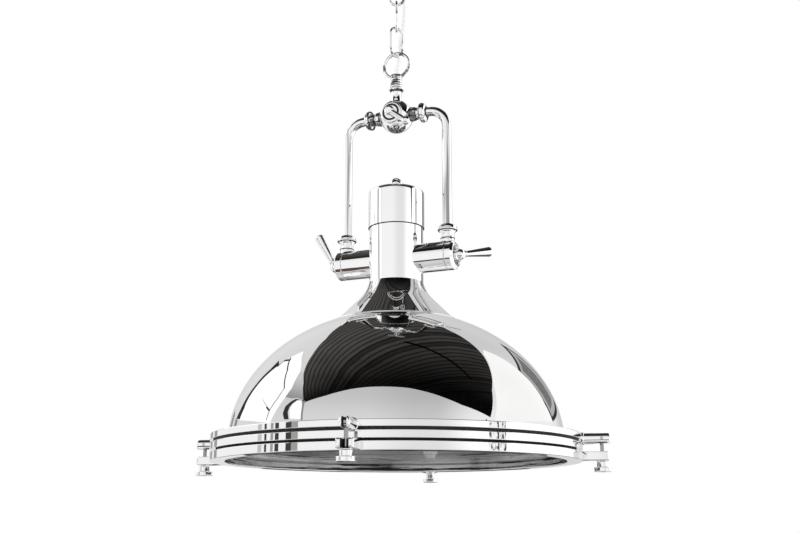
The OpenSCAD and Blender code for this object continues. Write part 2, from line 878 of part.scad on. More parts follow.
// A hollow quarter-bend from a waist to a ring, as radius and position
function arc_flare(x1, r1, x2, r2) = [
    for (i = [0:trumpet_steps]) let (t = 90 * i / trumpet_steps)
        [r2 - (r2 - r1) * cos(t), x1 + (x2 - x1) * sin(t)]
];
// A round crown from a ring's edge in to the tube, as radius and position
function arc_crown(x1, r1, x2, r2) = [
    for (i = [0:trumpet_steps]) let (t = 90 * i / trumpet_steps)
        [r2 + (r1 - r2) * cos(t), x1 + (x2 - x1) * sin(t)]
];

module tube_path(r) {
    translate([0, 0, hub_z])
        rod_x(r, tube_x, leg_x - bend_r);
    translate([leg_x - bend_r, 0, hub_z - bend_r])
        rotate([90, 0, 0])
            rotate_extrude(angle = 90)
                translate([bend_r, 0])
                    circle(r = r);
    translate([leg_x, 0, leg_foot_z])
        cylinder(r = r, h = hub_z - bend_r - leg_foot_z);
}

module tube_right() {
    color(chrome)
        difference() {
            tube_path(tube_r);
            tube_path(tube_in_r);
        }
}

module tube_left() {
    mirror([1, 0, 0])
        tube_right();
}

module leg_collars() {
    flare = arc_flare(leg_waist_z, leg_waist_r, leg_ring_z, leg_ring_r);
    color(chrome)
        both_sides()
            difference() {
                translate([leg_x, 0, 0])
                    rotate_extrude()
                        polygon(concat(
                            [[tube_in_r, tilt_z], [leg_foot_r, tilt_z], [leg_foot_r, leg_foot_z]],
                            flare,
                            arc_crown(leg_edge_z, leg_ring_r, leg_top_z, dome_end_r),
                            [[tube_r, leg_top_z], [tube_r, leg_foot_z], [tube_in_r, leg_foot_z]]
                        ));
                translate([0, 0, tilt_z]) {
                    rod_x(arm_r, 0, far);
                    rod_x(arm_r + leg_gap, 0, sleeve_x);
                }
            }
}

module sleeves() {
    color(chrome)
        both_sides()
            difference() {
                translate([0, 0, tilt_z])
                    turned_x([
                        [shaft_r + run_fit, sleeve_x], [arm_r, sleeve_x], [arm_r, sleeve_end_x],
                        [shaft_r + run_fit, sleeve_end_x]
                    ]);
                translate([sleeve_x + sleeve_l / 2, 0, tilt_z])
                    cylinder(r = wire_way_r, h = far);
            }
}

module end_caps() {
    hole_r = stud_r + run_fit;
    color(chrome)
        both_sides()
            translate([0, 0, tilt_z])
                turned_x([
                    [hole_r, sleeve_end_x], [arm_r, sleeve_end_x], [arm_r, cap_end_x - end_bevel_l],
                    [end_recess_r + end_land, cap_end_x], [end_recess_r, cap_end_x], [end_recess_r, recess_x],
                    [hole_r, recess_x]
                ]);
}

// Clamp levers
module boss() {
    foot_x = recess_x + face_gap;
    color(chrome)
        translate([0, 0, tilt_z])
            union() {
                rod_x(stud_r, foot_x - stud_l, boss_x);
                rod_x(boss_foot_r, foot_x, boss_x);
                translate([boss_x, 0, 0])
                    sphere(r = boss_r);
            }
}

module handle(turn) {
    color(chrome)
        translate([boss_x, 0, tilt_z])
            difference() {
                rotate([-turn, 0, 0])
                    rotate([0, 90 - handle_angle, 0])
                        rotate_extrude()
                            polygon([
                                [0, 0], [handle_r1, 0], [handle_r1, boss_r], [handle_r2, handle_l - collar_edge],
                                [handle_r2 - collar_edge, handle_l], [0, handle_l]
                            ]);
                sphere(r = boss_r);
            }
}

module boss_right() {
    boss();
}

module boss_left() {
    mirror([1, 0, 0])
        boss();
}

module handle_right() {
    handle(handle_right_turn);
}

module handle_left() {
    mirror([1, 0, 0])
        handle(handle_left_turn);
}

// Housing
module arms() {
    color(chrome)
        both_sides()
            translate([0, 0, tilt_z])
                difference() {
                    union() {
                        rod_x(arm_r, 0, shoulder_x);
                        rod_x(shaft_r, 0, shaft_end_x);
                    }
                    translate([0, 0, -far / 2])
                        cylinder(r = house_r, h = far);
                    rod_x(wire_way_r, 0, shaft_end_x);
                    rod_x(stud_r + screw_room, recess_x + face_gap - stud_l - shaft_end_gap, far);
                }
}

module housing() {
    color(chrome)
        head()
            difference() {
                rotate_extrude()
                    polygon([
                        [house_in_r, neck_top_z], [house_r, neck_top_z], [house_r, house_top_z],
                        [spigot_r, house_top_z], [spigot_r, house_top_z + spigot_h],
                        [house_in_r, house_top_z + spigot_h]
                    ]);
                translate([0, 0, arm_z])
                    rod_x(wire_way_r, -far, far);
            }
}

module housing_cap() {
    in_r = cap_r - cap_wall;
    out = arc(cap_r - cap_round, cap_top_z - cap_round, cap_round, 0, 90, 6);
    inside = arc(cap_r - cap_round, cap_top_z - cap_round, cap_round - cap_wall, 90, 0, 6);
    color(chrome)
        head()
            rotate_extrude()
                polygon(concat(
                    [[in_r, house_top_z], [cap_r, house_top_z]], out,
                    [[finial_screw_r + slip_fit, cap_top_z], [finial_screw_r + slip_fit, cap_top_z - cap_wall]],
                    inside
                ));
}

module finial() {
    color(chrome)
        head()
            union() {
                difference() {
                    translate([0, 0, finial_z])
                        sphere(r = finial_r);
                    translate([-far / 2, -far / 2, cap_top_z - far])
                        cube(far);
                }
                translate([0, 0, cap_top_z])
                    cylinder(r = finial_neck_r, h = finial_rise);
                translate([0, 0, bridge_z])
                    cylinder(r = finial_screw_r, h = finial_z - bridge_z);
            }
}

module cap_bridge() {
    color(steel)
        head()
            difference() {
                intersection() {
                    translate([-far / 2, -bridge_w / 2, bridge_z])
                        cube([far, bridge_w, bridge_t]);
                    cylinder(r = house_in_r, h = 2 * far);
                }
                cylinder(r = finial_screw_r, h = 2 * far);
            }
}

// Neck and shade
module neck() {
    bend_x = house_r + neck_bend_r * cos(neck_start);
    bend_z = neck_top_z + neck_bend_r * sin(neck_start);
    bend = [
        for (i = [0:neck_steps]) let (t = neck_start + (neck_slope - neck_start) * i / neck_steps)
            [bend_x - neck_bend_r * cos(t), bend_z - neck_bend_r * sin(t)]
    ];
    inner_r = neck_bend_r + neck_wall;
    inner_bend = [
        for (i = [neck_steps:-1:0]) let (t = neck_start + (neck_slope - neck_start) * i / neck_steps)
            [bend_x - inner_r * cos(t), bend_z - inner_r * sin(t)]
    ];
    foot_in_r = neck_foot_r - neck_wall / cos(neck_slope);
    lip_r = neck_foot_r + neck_lip_w;
    color(chrome)
        head()
            rotate_extrude()
                polygon(concat(
                    bend,
                    [[neck_foot_r - neck_lip_t * tan(neck_slope), neck_foot_z + neck_lip_t],
                     [lip_r, dome_h_at(lip_r) + neck_lip_t], [lip_r, dome_h_at(lip_r)],
                     [neck_foot_r, neck_foot_z], [foot_in_r, dome_h_at(foot_in_r)]],
                    inner_bend,
                    [[bend_x - inner_r * cos(neck_start), neck_top_z]]
                ));
}

module dome() {
    t1 = asin((rim_h - dome_level) / dome_rise);
    t2 = acos(dome_hole_r / dome_r);
    inner_r = dome_r - dome_wall;
    inner_rise = dome_rise - dome_wall;
    t3 = acos(dome_hole_r / inner_r);
    t4 = asin((rim_h - dome_level) / inner_rise);
    color(chrome)
        head()
            rotate_extrude()
                polygon(concat(
                    [[skirt_r, top_z]],
                    oval(dome_r, dome_rise, dome_level, t1, t2, dome_steps),
                    oval(inner_r, inner_rise, dome_level, t3, t4, dome_steps),
                    [[skirt_r - dome_wall, top_z]]
                ));
}

// Rim
module rim_top() {
    color(chrome)
        head()
            ring_band(skirt_r, rim_r, top_z, rim_h, band_chamfer);
}

module rim_mid() {
    color(chrome)
        head()
            union() {
                ring_band(band_in_r, rim_r, mid_z, groove_z, band_chamfer);
                rotate_extrude()
                    polygon([
                        [band_in_r, mid_z + mid_h / 2], [groove_r, mid_z + mid_h / 2], [groove_r, top_z],
                        [band_in_r, top_z]
                    ]);
            }
}

module gasket() {
    color(rubber)
        head()
            rotate_extrude()
                polygon([
                    [glass_r + drop_fit, gasket_z], [groove_r, gasket_z], [groove_r, mid_z],
                    [glass_r + drop_fit, mid_z]
                ]);
}

module lug() {
    root_x = rim_r - lug_root;
    end_x = rim_r + lug_reach;
    difference() {
        intersection() {
            translate([root_x, -lug_w / 2, 0])
                cube([end_x - root_x, lug_w, lug_h]);
            union() {
                translate([root_x, -lug_w / 2, 0])
                    cube([lug_seat_x - root_x, lug_w, lug_h]);
                translate([pin_x, 0, clevis_h])
                    rotate([90, 0, 0])
                        cylinder(r = clevis_h, h = lug_w, center = true);
            }
            union() {
                translate([root_x, -lug_w / 2, 0])
                    cube([end_x - lug_round - root_x, lug_w, lug_h]);
                translate([root_x, -lug_w / 2 + lug_round, 0])
                    cube([end_x - root_x, lug_w - 2 * lug_round, lug_h]);
                for (s = [-1, 1])
                    translate([end_x - lug_round, s * (lug_w / 2 - lug_round), 0])
                        cylinder(r = lug_round, h = lug_h);
            }
        }
        translate([pin_x, 0, -eps])
            cylinder(d = lug_slot, h = lug_h + 2 * eps);
        translate([pin_x, -lug_slot / 2, -eps])
            cube([far, lug_slot, lug_h + 2 * eps]);
    }
}

module door_ring() {
    color(chrome)
        head()
            union() {
                ring_band(door_in_r, rim_r, 0, door_h, band_chamfer);
                for (i = [0:3])
                    rotate([0, 0, clamp_turn + 90 * i])
                        difference() {
                            lug();
                            translate([0, 0, door_h])
                                cylinder(r = rim_r, h = far);
                        }
            }
}

module glass_pane() {
    color(clear)
        head()
            translate([0, 0, gasket_z])
                cylinder(r = glass_r, h = glass_t);
}

// Lampholder and bulb
module holder_plate() {
    color(steel)
        head()
            translate([0, 0, plate_z])
                difference() {
                    cylinder(r = house_in_r, h = plate_t);
                    translate([0, 0, -eps])
                        cylinder(r = nipple_r, h = plate_t + 2 * eps);
                }
}

module holder_shell() {
    color(brass)
        head()
            rotate_extrude()
                polygon([
                    [wire_way_r, plate_z + plate_t + nipple_top], [wire_way_r, holder_top_z - holder_top],
                    [insert_r, holder_top_z - holder_top], [insert_r, holder_z], [holder_r, holder_z],
                    [holder_r, holder_top_z - collar_edge], [holder_r - collar_edge, holder_top_z],
                    [nipple_r, holder_top_z], [nipple_r, plate_z + plate_t + nipple_top]
                ]);
}

module holder_insert() {
    color(ceramic)
        head()
            rotate_extrude()
                polygon([
                    [0, bulb_cap_z + bulb_cap_h], [socket_r, bulb_cap_z + bulb_cap_h], [socket_r, holder_z],
                    [insert_r, holder_z], [insert_r, holder_z + insert_l], [0, holder_z + insert_l]
                ]);
}

module bulb_cap() {
    in_r = bulb_cap_r - bulb_cap_wall;
    color(brass)
        head()
            rotate_extrude()
                polygon([
                    [in_r, bulb_cap_z], [bulb_cap_r, bulb_cap_z], [bulb_cap_r, bulb_cap_z + bulb_cap_h * 0.8],
                    [bulb_cap_r / 2, bulb_cap_z + bulb_cap_h], [0, bulb_cap_z + bulb_cap_h],
                    [0, bulb_cap_z + bulb_cap_h * 0.75], [in_r, bulb_cap_z + bulb_cap_h * 0.75]
                ]);
}

module bulb_glass() {
    t_out = acos(bulb_neck_r / bulb_r);
    in_neck_r = bulb_neck_r - bulb_wall;
    in_r = bulb_r - bulb_wall;
    t_in = acos(in_neck_r / in_r);
    top = bulb_cap_z + bulb_cap_h / 3;
    color(clear)
        head()
            rotate_extrude()
                polygon(concat(
                    oval_at(0, bulb_z, bulb_r, -90, t_out, bulb_steps), [[bulb_neck_r, top], [in_neck_r, top]],
                    oval_at(0, bulb_z, in_r, t_in, -90, bulb_steps)
                ));
}

// Clamps
module clevises() {
    color(chrome)
        for (i = [0:3])
            at_clamp(i)
                difference() {
                    translate([0, 0, clevis_h])
                        rod_x(clevis_r, rim_r - clevis_r, rim_r + clevis_reach);
                    cylinder(r = rim_r, h = far);
                    translate([pin_x - bolt_eye_r - eye_room, -clevis_slot / 2, 0])
                        cube([far, clevis_slot, far]);
                    translate([pin_x, 0, clevis_h])
                        rotate([90, 0, 0])
                            cylinder(r = pin_r, h = far, center = true);
                }
}

module clevis_pins() {
    color(steel)
        for (i = [0:3])
            at_pin(i)
                rotate([90, 0, 0])
                    cylinder(r = pin_r, h = 2 * clevis_r, center = true);
}

module swing_bolt(i) {
    color(chrome)
        at_pin(i)
            difference() {
                union() {
                    rotate([90, 0, 0])
                        cylinder(r = bolt_eye_r, h = bolt_eye_t, center = true);
                    translate([0, 0, -bolt_end_d])
                        cylinder(r = bolt_r, h = bolt_end_d);
                }
                rotate([90, 0, 0])
                    cylinder(r = pin_r + run_fit, h = far, center = true);
            }
}

module nut_washer(i) {
    color(chrome)
        at_pin(i)
            translate([0, 0, -nut_top_d])
                difference() {
                    cylinder(r = nut_r, h = washer_t);
                    translate([0, 0, -eps])
                        cylinder(r = bolt_r + run_fit, h = washer_t + 2 * eps);
                }
}

module thumb_nut(i) {
    in_r = bolt_r + run_fit;
    top = -nut_top_d - face_gap;
    color(chrome)
        at_pin(i)
            rotate_extrude()
                polygon([
                    [in_r, -nut_end_d], [nut_flange_r - nut_edge, -nut_end_d], [nut_flange_r, -nut_end_d + nut_edge],
                    [nut_flange_r, -nut_low_d - nut_edge], [nut_flange_r - nut_edge, -nut_low_d],
                    [nut_r, -nut_low_d], [nut_r, top], [in_r, top]
                ]);
}

module bolt_1() { swing_bolt(0); }
module bolt_2() { swing_bolt(1); }
module bolt_3() { swing_bolt(2); }
module bolt_4() { swing_bolt(3); }
module washer_1() { nut_washer(0); }
module washer_2() { nut_washer(1); }
module washer_3() { nut_washer(2); }
module washer_4() { nut_washer(3); }
module nut_1() { thumb_nut(0); }
module nut_2() { thumb_nut(1); }
module nut_3() { thumb_nut(2); }
module nut_4() { thumb_nut(3); }

ceiling_strap();
canopy_cup();
canopy_nut();
ceiling_eye();
eye_nut();
cable_gland();
terminal_block();
cable();
link_top();
link_middle();
link_bottom();
loop_ring();
loop_barrel();
loop_collar();
hub_ball();
hub_stem();
hub_face_disc();
hub_collars();
tube_left();
tube_right();
leg_collars();
sleeves();
end_caps();
hub_lever();
boss_left();
handle_left();
boss_right();
handle_right();
housing();
arms();
housing_cap();
finial();
cap_bridge();
neck();
dome();
rim_top();
rim_mid();
gasket();
door_ring();
glass_pane();
holder_plate();
holder_shell();
holder_insert();
bulb_cap();
bulb_glass();
clevises();
clevis_pins();
bolt_1();
bolt_2();
bolt_3();
bolt_4();
washer_1();
washer_2();
washer_3();
washer_4();
nut_1();
nut_2();
nut_3();
nut_4();
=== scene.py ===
from math import acos, asin, atan2, cos, degrees, pi, radians, sin, sqrt

import bpy
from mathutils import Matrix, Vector


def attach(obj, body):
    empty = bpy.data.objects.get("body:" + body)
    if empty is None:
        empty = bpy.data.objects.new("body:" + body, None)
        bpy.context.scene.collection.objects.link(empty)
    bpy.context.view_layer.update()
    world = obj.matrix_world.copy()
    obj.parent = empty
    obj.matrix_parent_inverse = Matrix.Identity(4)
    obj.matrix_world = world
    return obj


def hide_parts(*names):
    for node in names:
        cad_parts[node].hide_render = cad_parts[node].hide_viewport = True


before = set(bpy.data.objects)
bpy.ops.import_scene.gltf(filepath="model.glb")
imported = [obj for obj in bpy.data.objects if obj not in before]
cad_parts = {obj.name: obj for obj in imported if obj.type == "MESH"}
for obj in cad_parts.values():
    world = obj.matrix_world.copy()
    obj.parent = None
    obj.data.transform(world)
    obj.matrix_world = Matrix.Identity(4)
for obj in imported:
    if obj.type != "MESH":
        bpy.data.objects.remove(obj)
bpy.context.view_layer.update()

MM = 0.001
UP = Vector((0, 0, 1))

# The photographer's directions, seen from above: to the right, and towards the camera
CAMERA_SIDE = radians(23)
RIGHT = Vector((cos(CAMERA_SIDE), sin(CAMERA_SIDE), 0))
NEAR = Vector((sin(CAMERA_SIDE), -cos(CAMERA_SIDE), 0))
CAMERA_AT, CAMERA_TURN = (0.53401, -1.25805, -0.83603), (104.15, 0, 22.787)
CAMERA_LENS, CAMERA_SENSOR = 46.53, 36

# Hanger: heights in mm from the ceiling, and the links' turns in degrees
CUP_R, CUP_Z, EYE_Z = 52, -30, -48.25
GLAND_AT = (6, 14, CUP_Z)
LINK_TOPS, LINK_TURNS = (-54.9, -95.5, -136.1), (23, -67, 58)
LOOP_Z, BARREL_TOP, BARREL_Z = -195, -210, -215
COLLAR_TOP, COLLAR_Z = -229.8, -234.4
CABLE_D, CORE_D = 6, 2.6
CABLE_ROUTE = [
    (0, 0, -210), (0, 0.3, -204.5), (0, 1.6, -199), (0, 3.8, -193.5), (0, 6.2, -188), (0, 8.5, -182.5),
    (0, 10.3, -177), (0, 11.3, -171.5), (0.1, 11.6, -166), (0.5, 11.7, -156), (1.5, 12, -146),
    (3.2, 12.7, -136), (4.8, 13.4, -124), (5.8, 13.9, -110), (6, 14, -96), (6, 14, -80), (6, 14, -60),
    (6, 14, -36),
]

# Yoke: heights in mm from the ceiling, and lengths out from the middle
HUB_Z, TILT_Z = -273.4, -483.9
HUB_R, HUB_FACE, LEVER_LEAN = 24, 18, 37
TUBE_R, TUBE_START, BEND_R, LEG_X, LEG_Z = 6.5, 27, 25, 75, TILT_Z + 23
ARM_R, SHAFT_R, SLEEVE_START, SLEEVE_END, BALL_X = 20, 12, 75.5, 83.5, 92

# Head: heights in mm above the underside of the rim, which lies at RIM_Z
RIM_Z, RIM_R, SHEET = -755.139, 240, 1.6
PANE_Z, PANE_TOP, DOOR_TOP = 9.5, 12.6, 10.2
MIDDLE_Z, MIDDLE_TOP, UPPER_Z, UPPER_TOP = 13, 22, 25.5, 33.5
DOME_R, DOME_RISE, DOME_LEVEL, DOME_EDGE = 218, 174.5, 23.5, 217.64
HOUSE_R, HOUSE_Z, HOUSE_TOP = 37, 239.738, 316.738
CAP_R, CAP_TOP = 38.8, 371.238
CLAMP_TURNS = [11.4 + 90 * i for i in range(4)]
PIN_X, PIN_H, PITCH = 264, 27.5, 0.8


# ---------------------------------------------------------------- workshop

def clear_bench():
    if bpy.context.object and bpy.context.object.mode != "OBJECT":
        bpy.ops.object.mode_set(mode="OBJECT")
    bpy.ops.object.select_all(action="DESELECT")


def take(*pieces):
    clear_bench()
    for piece in pieces:
        piece.select_set(True)
    bpy.context.view_layer.objects.active = pieces[0]
    return pieces[0]


def edit_all(piece):
    take(piece)
    bpy.ops.object.mode_set(mode="EDIT")
    bpy.ops.mesh.select_all(action="SELECT")


def close_up(piece):
    """Merge the seam, close open ends and point the faces outwards."""
    edit_all(piece)
    bpy.ops.mesh.remove_doubles(threshold=1e-6)
    bpy.ops.mesh.select_all(action="SELECT")
    bpy.ops.mesh.fill_holes(sides=0)
    bpy.ops.mesh.select_all(action="SELECT")
    bpy.ops.mesh.normals_make_consistent(inside=False)
    bpy.ops.object.mode_set(mode="OBJECT")
    return piece


def set_at(piece, at=(0, 0, 0), turn=(0, 0, 0)):
    take(piece)
    piece.location = Vector(at) * MM
    piece.rotation_euler = [radians(t) for t in turn]
    bpy.ops.object.transform_apply(location=True, rotation=True, scale=True)
    return piece


def copy_of(piece, name):
    take(piece)
    bpy.ops.object.duplicate(linked=False)
    bpy.context.object.name = name
    return bpy.context.object


def joined(name, *pieces):
    whole = take(*pieces)
    if len(pieces) > 1:
        bpy.ops.object.join()
    whole.name = name
    return whole


def cut(piece, *cutters):
    for cutter in cutters:
        take(piece)
        saw = piece.modifiers.new("saw", "BOOLEAN")
        saw.object, saw.operation, saw.solver = cutter, "DIFFERENCE", "EXACT"
        bpy.ops.object.modifier_apply(modifier=saw.name)
        bpy.data.objects.remove(cutter)
    return piece


def soften(piece, width, limit=40):
    """Break the sharp edges with a small round."""
    take(piece)
    round_off = piece.modifiers.new("round_off", "BEVEL")
    round_off.width, round_off.segments = width * MM, 2
    round_off.limit_method, round_off.angle_limit = "ANGLE", radians(limit)
    bpy.ops.object.modifier_apply(modifier=round_off.name)
    return piece


def eased(points, closed, bits=4):
    """An outline of (radius, height) points, where a third number rounds that corner."""
    share, run_in = 0.42, 1.15
    out, count = [], len(points)
    for i, point in enumerate(points):
        here = Vector(point[:2])
        ends = not closed and i in (0, count - 1)
        ease = point[2] if len(point) > 2 and not ends else 0
        if not ease:
            out.append(here)
            continue
        before = Vector(points[i - 1][:2]) - here
        after = Vector(points[(i + 1) % count][:2]) - here
        a = before.normalized() * min(ease, before.length * share)
        b = after.normalized() * min(ease, after.length * share)
        out.append(here + a * run_in)
        for k in range(bits + 1):
            t = k / bits
            out.append(here + a * (1 - t) ** 2 + b * t ** 2)
        out.append(here + b * run_in)
    return [(p[0], p[1]) for p in out]


def single_point(name):
    """A new mesh with one point in the middle, ready to be drawn out."""
    clear_bench()
    bpy.ops.mesh.primitive_plane_add(size=MM)
    piece = bpy.context.object
    piece.name = name
    edit_all(piece)
    bpy.ops.mesh.merge(type="CENTER")
    return piece


def turned(name, points, steps=128, closed=True):
    """Turn an outline about the upright axis, as on a lathe."""
    outline = eased(points, closed)
    if closed:
        outline.append(outline[0])
    piece = single_point(name)
    bpy.ops.transform.translate(value=(outline[0][0] * MM, 0, outline[0][1] * MM))
    for (r1, z1), (r2, z2) in zip(outline, outline[1:]):
        move = ((r2 - r1) * MM, 0, (z2 - z1) * MM)
        bpy.ops.mesh.extrude_vertices_move(TRANSFORM_OT_translate={"value": move})
    bpy.ops.mesh.select_all(action="SELECT")
    bpy.ops.mesh.spin(steps=steps, angle=2 * pi, center=(0, 0, 0), axis=(0, 0, 1))
    return close_up(piece)


def bar(name, r, low, high, steps):
    return turned(name, [(0, low), (r, low), (r, high), (0, high)], steps, closed=False)


def plain_ring(name, r1, r2, low, high, steps):
    return turned(name, [(r1, low), (r2, low), (r2, high), (r1, high)], steps)


def arc(x, z, r, start, end, bits=10):
    turns = [radians(start + (end - start) * k / bits) for k in range(bits + 1)]
    return [(x + r * cos(t), z + r * sin(t)) for t in turns]


def quarter_bend(x1, r1, x2, r2, bits=10):
    """A quarter bend: hollow from a waist out to a ring, or round from a ring's edge in to a tube."""
    turns = [pi / 2 * k / bits for k in range(bits + 1)]
    return [(r2 + (r1 - r2) * cos(t), x1 + (x2 - x1) * sin(t)) for t in turns]


def wire_start(name, wire, x, z, sides=28, turn=0):
    """A round wire's end, ready to be drawn out: lying flat, or turned about the y axis."""
    clear_bench()
    bpy.ops.mesh.primitive_circle_add(
        vertices=sides, radius=wire / 2 * MM, location=(x * MM, 0, z * MM), rotation=(0, radians(turn), 0)
    )
    piece = bpy.context.object
    piece.name = name
    bpy.ops.object.transform_apply(location=True, rotation=True, scale=True)
    edit_all(piece)
    return piece


def draw_out(dx, dz, swell=1, middle=(0, 0, 0)):
    bpy.ops.mesh.extrude_region_move(TRANSFORM_OT_translate={"value": (dx * MM, 0, dz * MM)})
    if swell != 1:
        bpy.ops.transform.resize(value=(swell, swell, 1), center_override=Vector(middle) * MM)


def bow(angle, x, z, steps):
    bpy.ops.mesh.spin(steps=steps, angle=radians(angle), center=(x * MM, 0, z * MM), axis=(0, 1, 0))


def block(name, low, high):
    """A block between two corners."""
    clear_bench()
    low, high = Vector(low), Vector(high)
    bpy.ops.mesh.primitive_cube_add(size=MM, location=(low + high) / 2 * MM)
    piece = bpy.context.object
    piece.name = name
    piece.scale = high - low
    bpy.ops.object.transform_apply(location=True, rotation=True, scale=True)
    return piece


def dress(piece, finish, body, slot, *nodes, crease=32):
    take(piece)
    bpy.ops.object.shade_smooth_by_angle(angle=radians(crease))
    piece.data.materials.clear()
    piece.data.materials.append(finish)
    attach(piece, body)
    if nodes:
        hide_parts(*nodes)


def on_head(piece, finish, slot, *nodes, crease=32):
    dress(set_at(piece, (0, 0, RIM_Z)), finish, "head", slot, *nodes, crease=crease)


# ---------------------------------------------------------------- shader maths

class Level:
    """A value in a node tree, on which plain arithmetic can be done."""

    def __init__(self, nodes, socket):
        self.nodes, self.socket = nodes, socket

    def worked(self, how, a, b):
        return self.nodes.add("ShaderNodeMath", {"operation": how}, {0: a, 1: b})

    def __add__(self, other):
        return self.worked("ADD", self, other)

    def __sub__(self, other):
        return self.worked("SUBTRACT", self, other)

    def __rsub__(self, other):
        return self.worked("SUBTRACT", other, self)

    def __mul__(self, other):
        return self.worked("MULTIPLY", self, other)

    def __gt__(self, other):
        return self.worked("GREATER_THAN", self, other)

    def __mod__(self, other):
        return self.worked("FLOORED_MODULO", self, other)

    __radd__, __rmul__ = __add__, __mul__

    def most(self, other):
        return self.worked("MAXIMUM", self, other)

    def other_end(self, name):
        return Level(self.nodes, self.socket.node.outputs[name])


class Nodes:
    """The node tree of a finish or of the world."""

    def __init__(self, tree):
        self.tree = tree
        tree.nodes.clear()

    def add(self, kind, settings=None, sockets=None, out=0):
        node = self.tree.nodes.new(kind)
        for key, value in (settings or {}).items():
            setattr(node, key, value)
        for key, value in (sockets or {}).items():
            if isinstance(value, Level):
                self.tree.links.new(value.socket, node.inputs[key])
            else:
                node.inputs[key].default_value = value
        return Level(self, node.outputs[out]) if len(node.outputs) else None

    def blend(self, mask, a, b):
        """From colour a to colour b as the mask goes from 0 to 1."""
        return self.add("ShaderNodeMix", {"data_type": "RGBA"}, {0: mask, 6: (*a, 1.0), 7: (*b, 1.0)}, out=2)

    def place(self):
        return self.add("ShaderNodeTexCoord", out="Object")

    def parts(self, vector):
        x = self.add("ShaderNodeSeparateXYZ", {}, {"Vector": vector}, out="X")
        return x, x.other_end("Y"), x.other_end("Z")

    def noise(self, scale, detail=3.0, place=None, rough=0.55):
        sockets = {"Vector": place or self.place(), "Scale": scale, "Detail": detail, "Roughness": rough}
        return self.add("ShaderNodeTexNoise", {}, sockets)

    def stretched(self, size):
        return self.add("ShaderNodeMapping", {}, {"Vector": self.place(), "Scale": size})

    def ramp(self, value, low, high, start, end):
        """Ease from start to end as the value goes from low to high."""
        return self.add("ShaderNodeMapRange", {"interpolation_type": "SMOOTHSTEP"}, {
            "Value": value, "From Min": low, "From Max": high, "To Min": start, "To Max": end,
        })

    def bump(self, height, distance):
        return self.add("ShaderNodeBump", {}, {"Height": height, "Distance": distance, "Strength": 1.0})

    def tinted(self, grey, red, green, blue):
        """A grey with a slight tint."""
        return self.add("ShaderNodeCombineColor", {}, {
            "Red": grey * red, "Green": grey * green, "Blue": grey * blue,
        })


# ---------------------------------------------------------------- finishes

def finish_of(name, build):
    """A material whose shader is given by build(nodes), as a dict of the Principled shader's sockets."""
    material = bpy.data.materials.new(name)
    material.use_nodes = True
    nodes = Nodes(material.node_tree)
    shader = nodes.add("ShaderNodeBsdfPrincipled", {}, build(nodes))
    nodes.add("ShaderNodeOutputMaterial", {}, {"Surface": shader})
    return material


def chrome_plate(light, dark, haze, ripple):
    """Polished plate: a faint cloudy tone, wiped smears in the gloss, and the waviness of buffed metal."""
    def build(n):
        cloud = n.noise(6.0, 4.0)
        wipe = n.noise(2.2, 5.0, n.stretched((1.0, 1.0, 7.0)), 0.65)
        dust = n.noise(420.0, 1.0)
        wave = n.noise(11.0, 2.0)
        return {
            "Base Color": n.blend(cloud, dark, light),
            "Metallic": 1.0,
            "Roughness": 0.012 + haze * wipe * cloud + 0.012 * (dust > 0.68),
            "Normal": n.bump(wave, ripple),
        }
    return build


def spotted_reflection_plate(n):
    """Small plated fittings: bright, with darker spots painted into the colour as a painted reflection of dark
    surroundings.
    """
    cloud = n.noise(6.0, 4.0)
    # Dark spots of painted reflection
    painted_dark_spot = n.ramp(n.noise(75.0, 2.0), 0.53, 0.61, 0.0, 1.0)
    return {
        "Base Color": n.blend(painted_dark_spot, (0.95, 0.95, 0.952), (0.20, 0.195, 0.19)),
        "Metallic": 1.0,
        "Roughness": 0.015 + 0.03 * cloud,
    }


def lined_reflection_tube(n):
    """Plated tube with faint long dark lines painted into its colour: a painted reflection of dark
    surroundings.
    """
    line = n.noise(170.0, 2.0, n.stretched((1.0, 1.0, 0.02)))
    # Dark lines of painted reflection along the tube
    painted_reflection_line = n.ramp(line, 0.50, 0.64, 0.0, 1.0)
    return {
        "Base Color": n.blend(painted_reflection_line, (0.93, 0.93, 0.925), (0.36, 0.355, 0.35)),
        "Metallic": 1.0,
        "Roughness": 0.02 + 0.03 * line,
    }


def bright_lining(n):
    """The inside of the shade: bright metal with the fine rings left by spinning."""
    cloud = n.noise(5.0, 4.0)
    lathe = n.noise(3.0, 2.0, n.stretched((1.0, 1.0, 160.0)))
    return {
        "Base Color": n.blend(cloud, (0.84, 0.84, 0.845), (0.92, 0.92, 0.925)),
        "Metallic": 1.0,
        "Roughness": 0.22 + 0.14 * lathe,
        "Normal": n.bump(lathe, 0.00005),
    }


def painted_reflection_wall(dark, light, low, high):
    """Plate inside the rim, with long dark and bright streaks painted into its colour: a painted reflection of
    a room.
    """
    def build(n):
        streak = n.noise(4.0, 4.0, n.stretched((2.0, 2.0, 60.0)), 0.65)
        return {
            "Base Color": n.blend(n.ramp(streak, low, high, 0.0, 1.0), dark, light),
            "Metallic": 1.0,
            "Roughness": 0.08 + 0.1 * streak,
        }
    return build


def clear_pane(n):
    """Clear glass with almost no reflection, and faint wiped smears."""
    wipe = n.noise(3.0, 5.0, n.stretched((1.0, 2.6, 1.0)), 0.65)
    return {
        "Base Color": n.blend(wipe, (0.95, 0.965, 0.96), (0.985, 0.99, 0.99)),
        "Metallic": 0.07,
        "Roughness": 0.004 + 0.02 * wipe * wipe,
        "Transmission Weight": 1.0,
        "IOR": 1.005,
    }


def grained(size, detail, dark, light, gloss, haze, ripple=0, stretch=None, **rest):
    """One grain that varies the tone and the gloss and, where there is a ripple, the relief."""
    def build(n):
        grain = n.noise(size, detail, n.stretched(stretch) if stretch else None)
        if ripple:
            rest["Normal"] = n.bump(grain, ripple)
        return {"Base Color": n.blend(grain, dark, light), "Roughness": gloss + haze * grain, **rest}
    return build


def see_through(share, bend):
    return {"Transmission Weight": share, "IOR": bend}


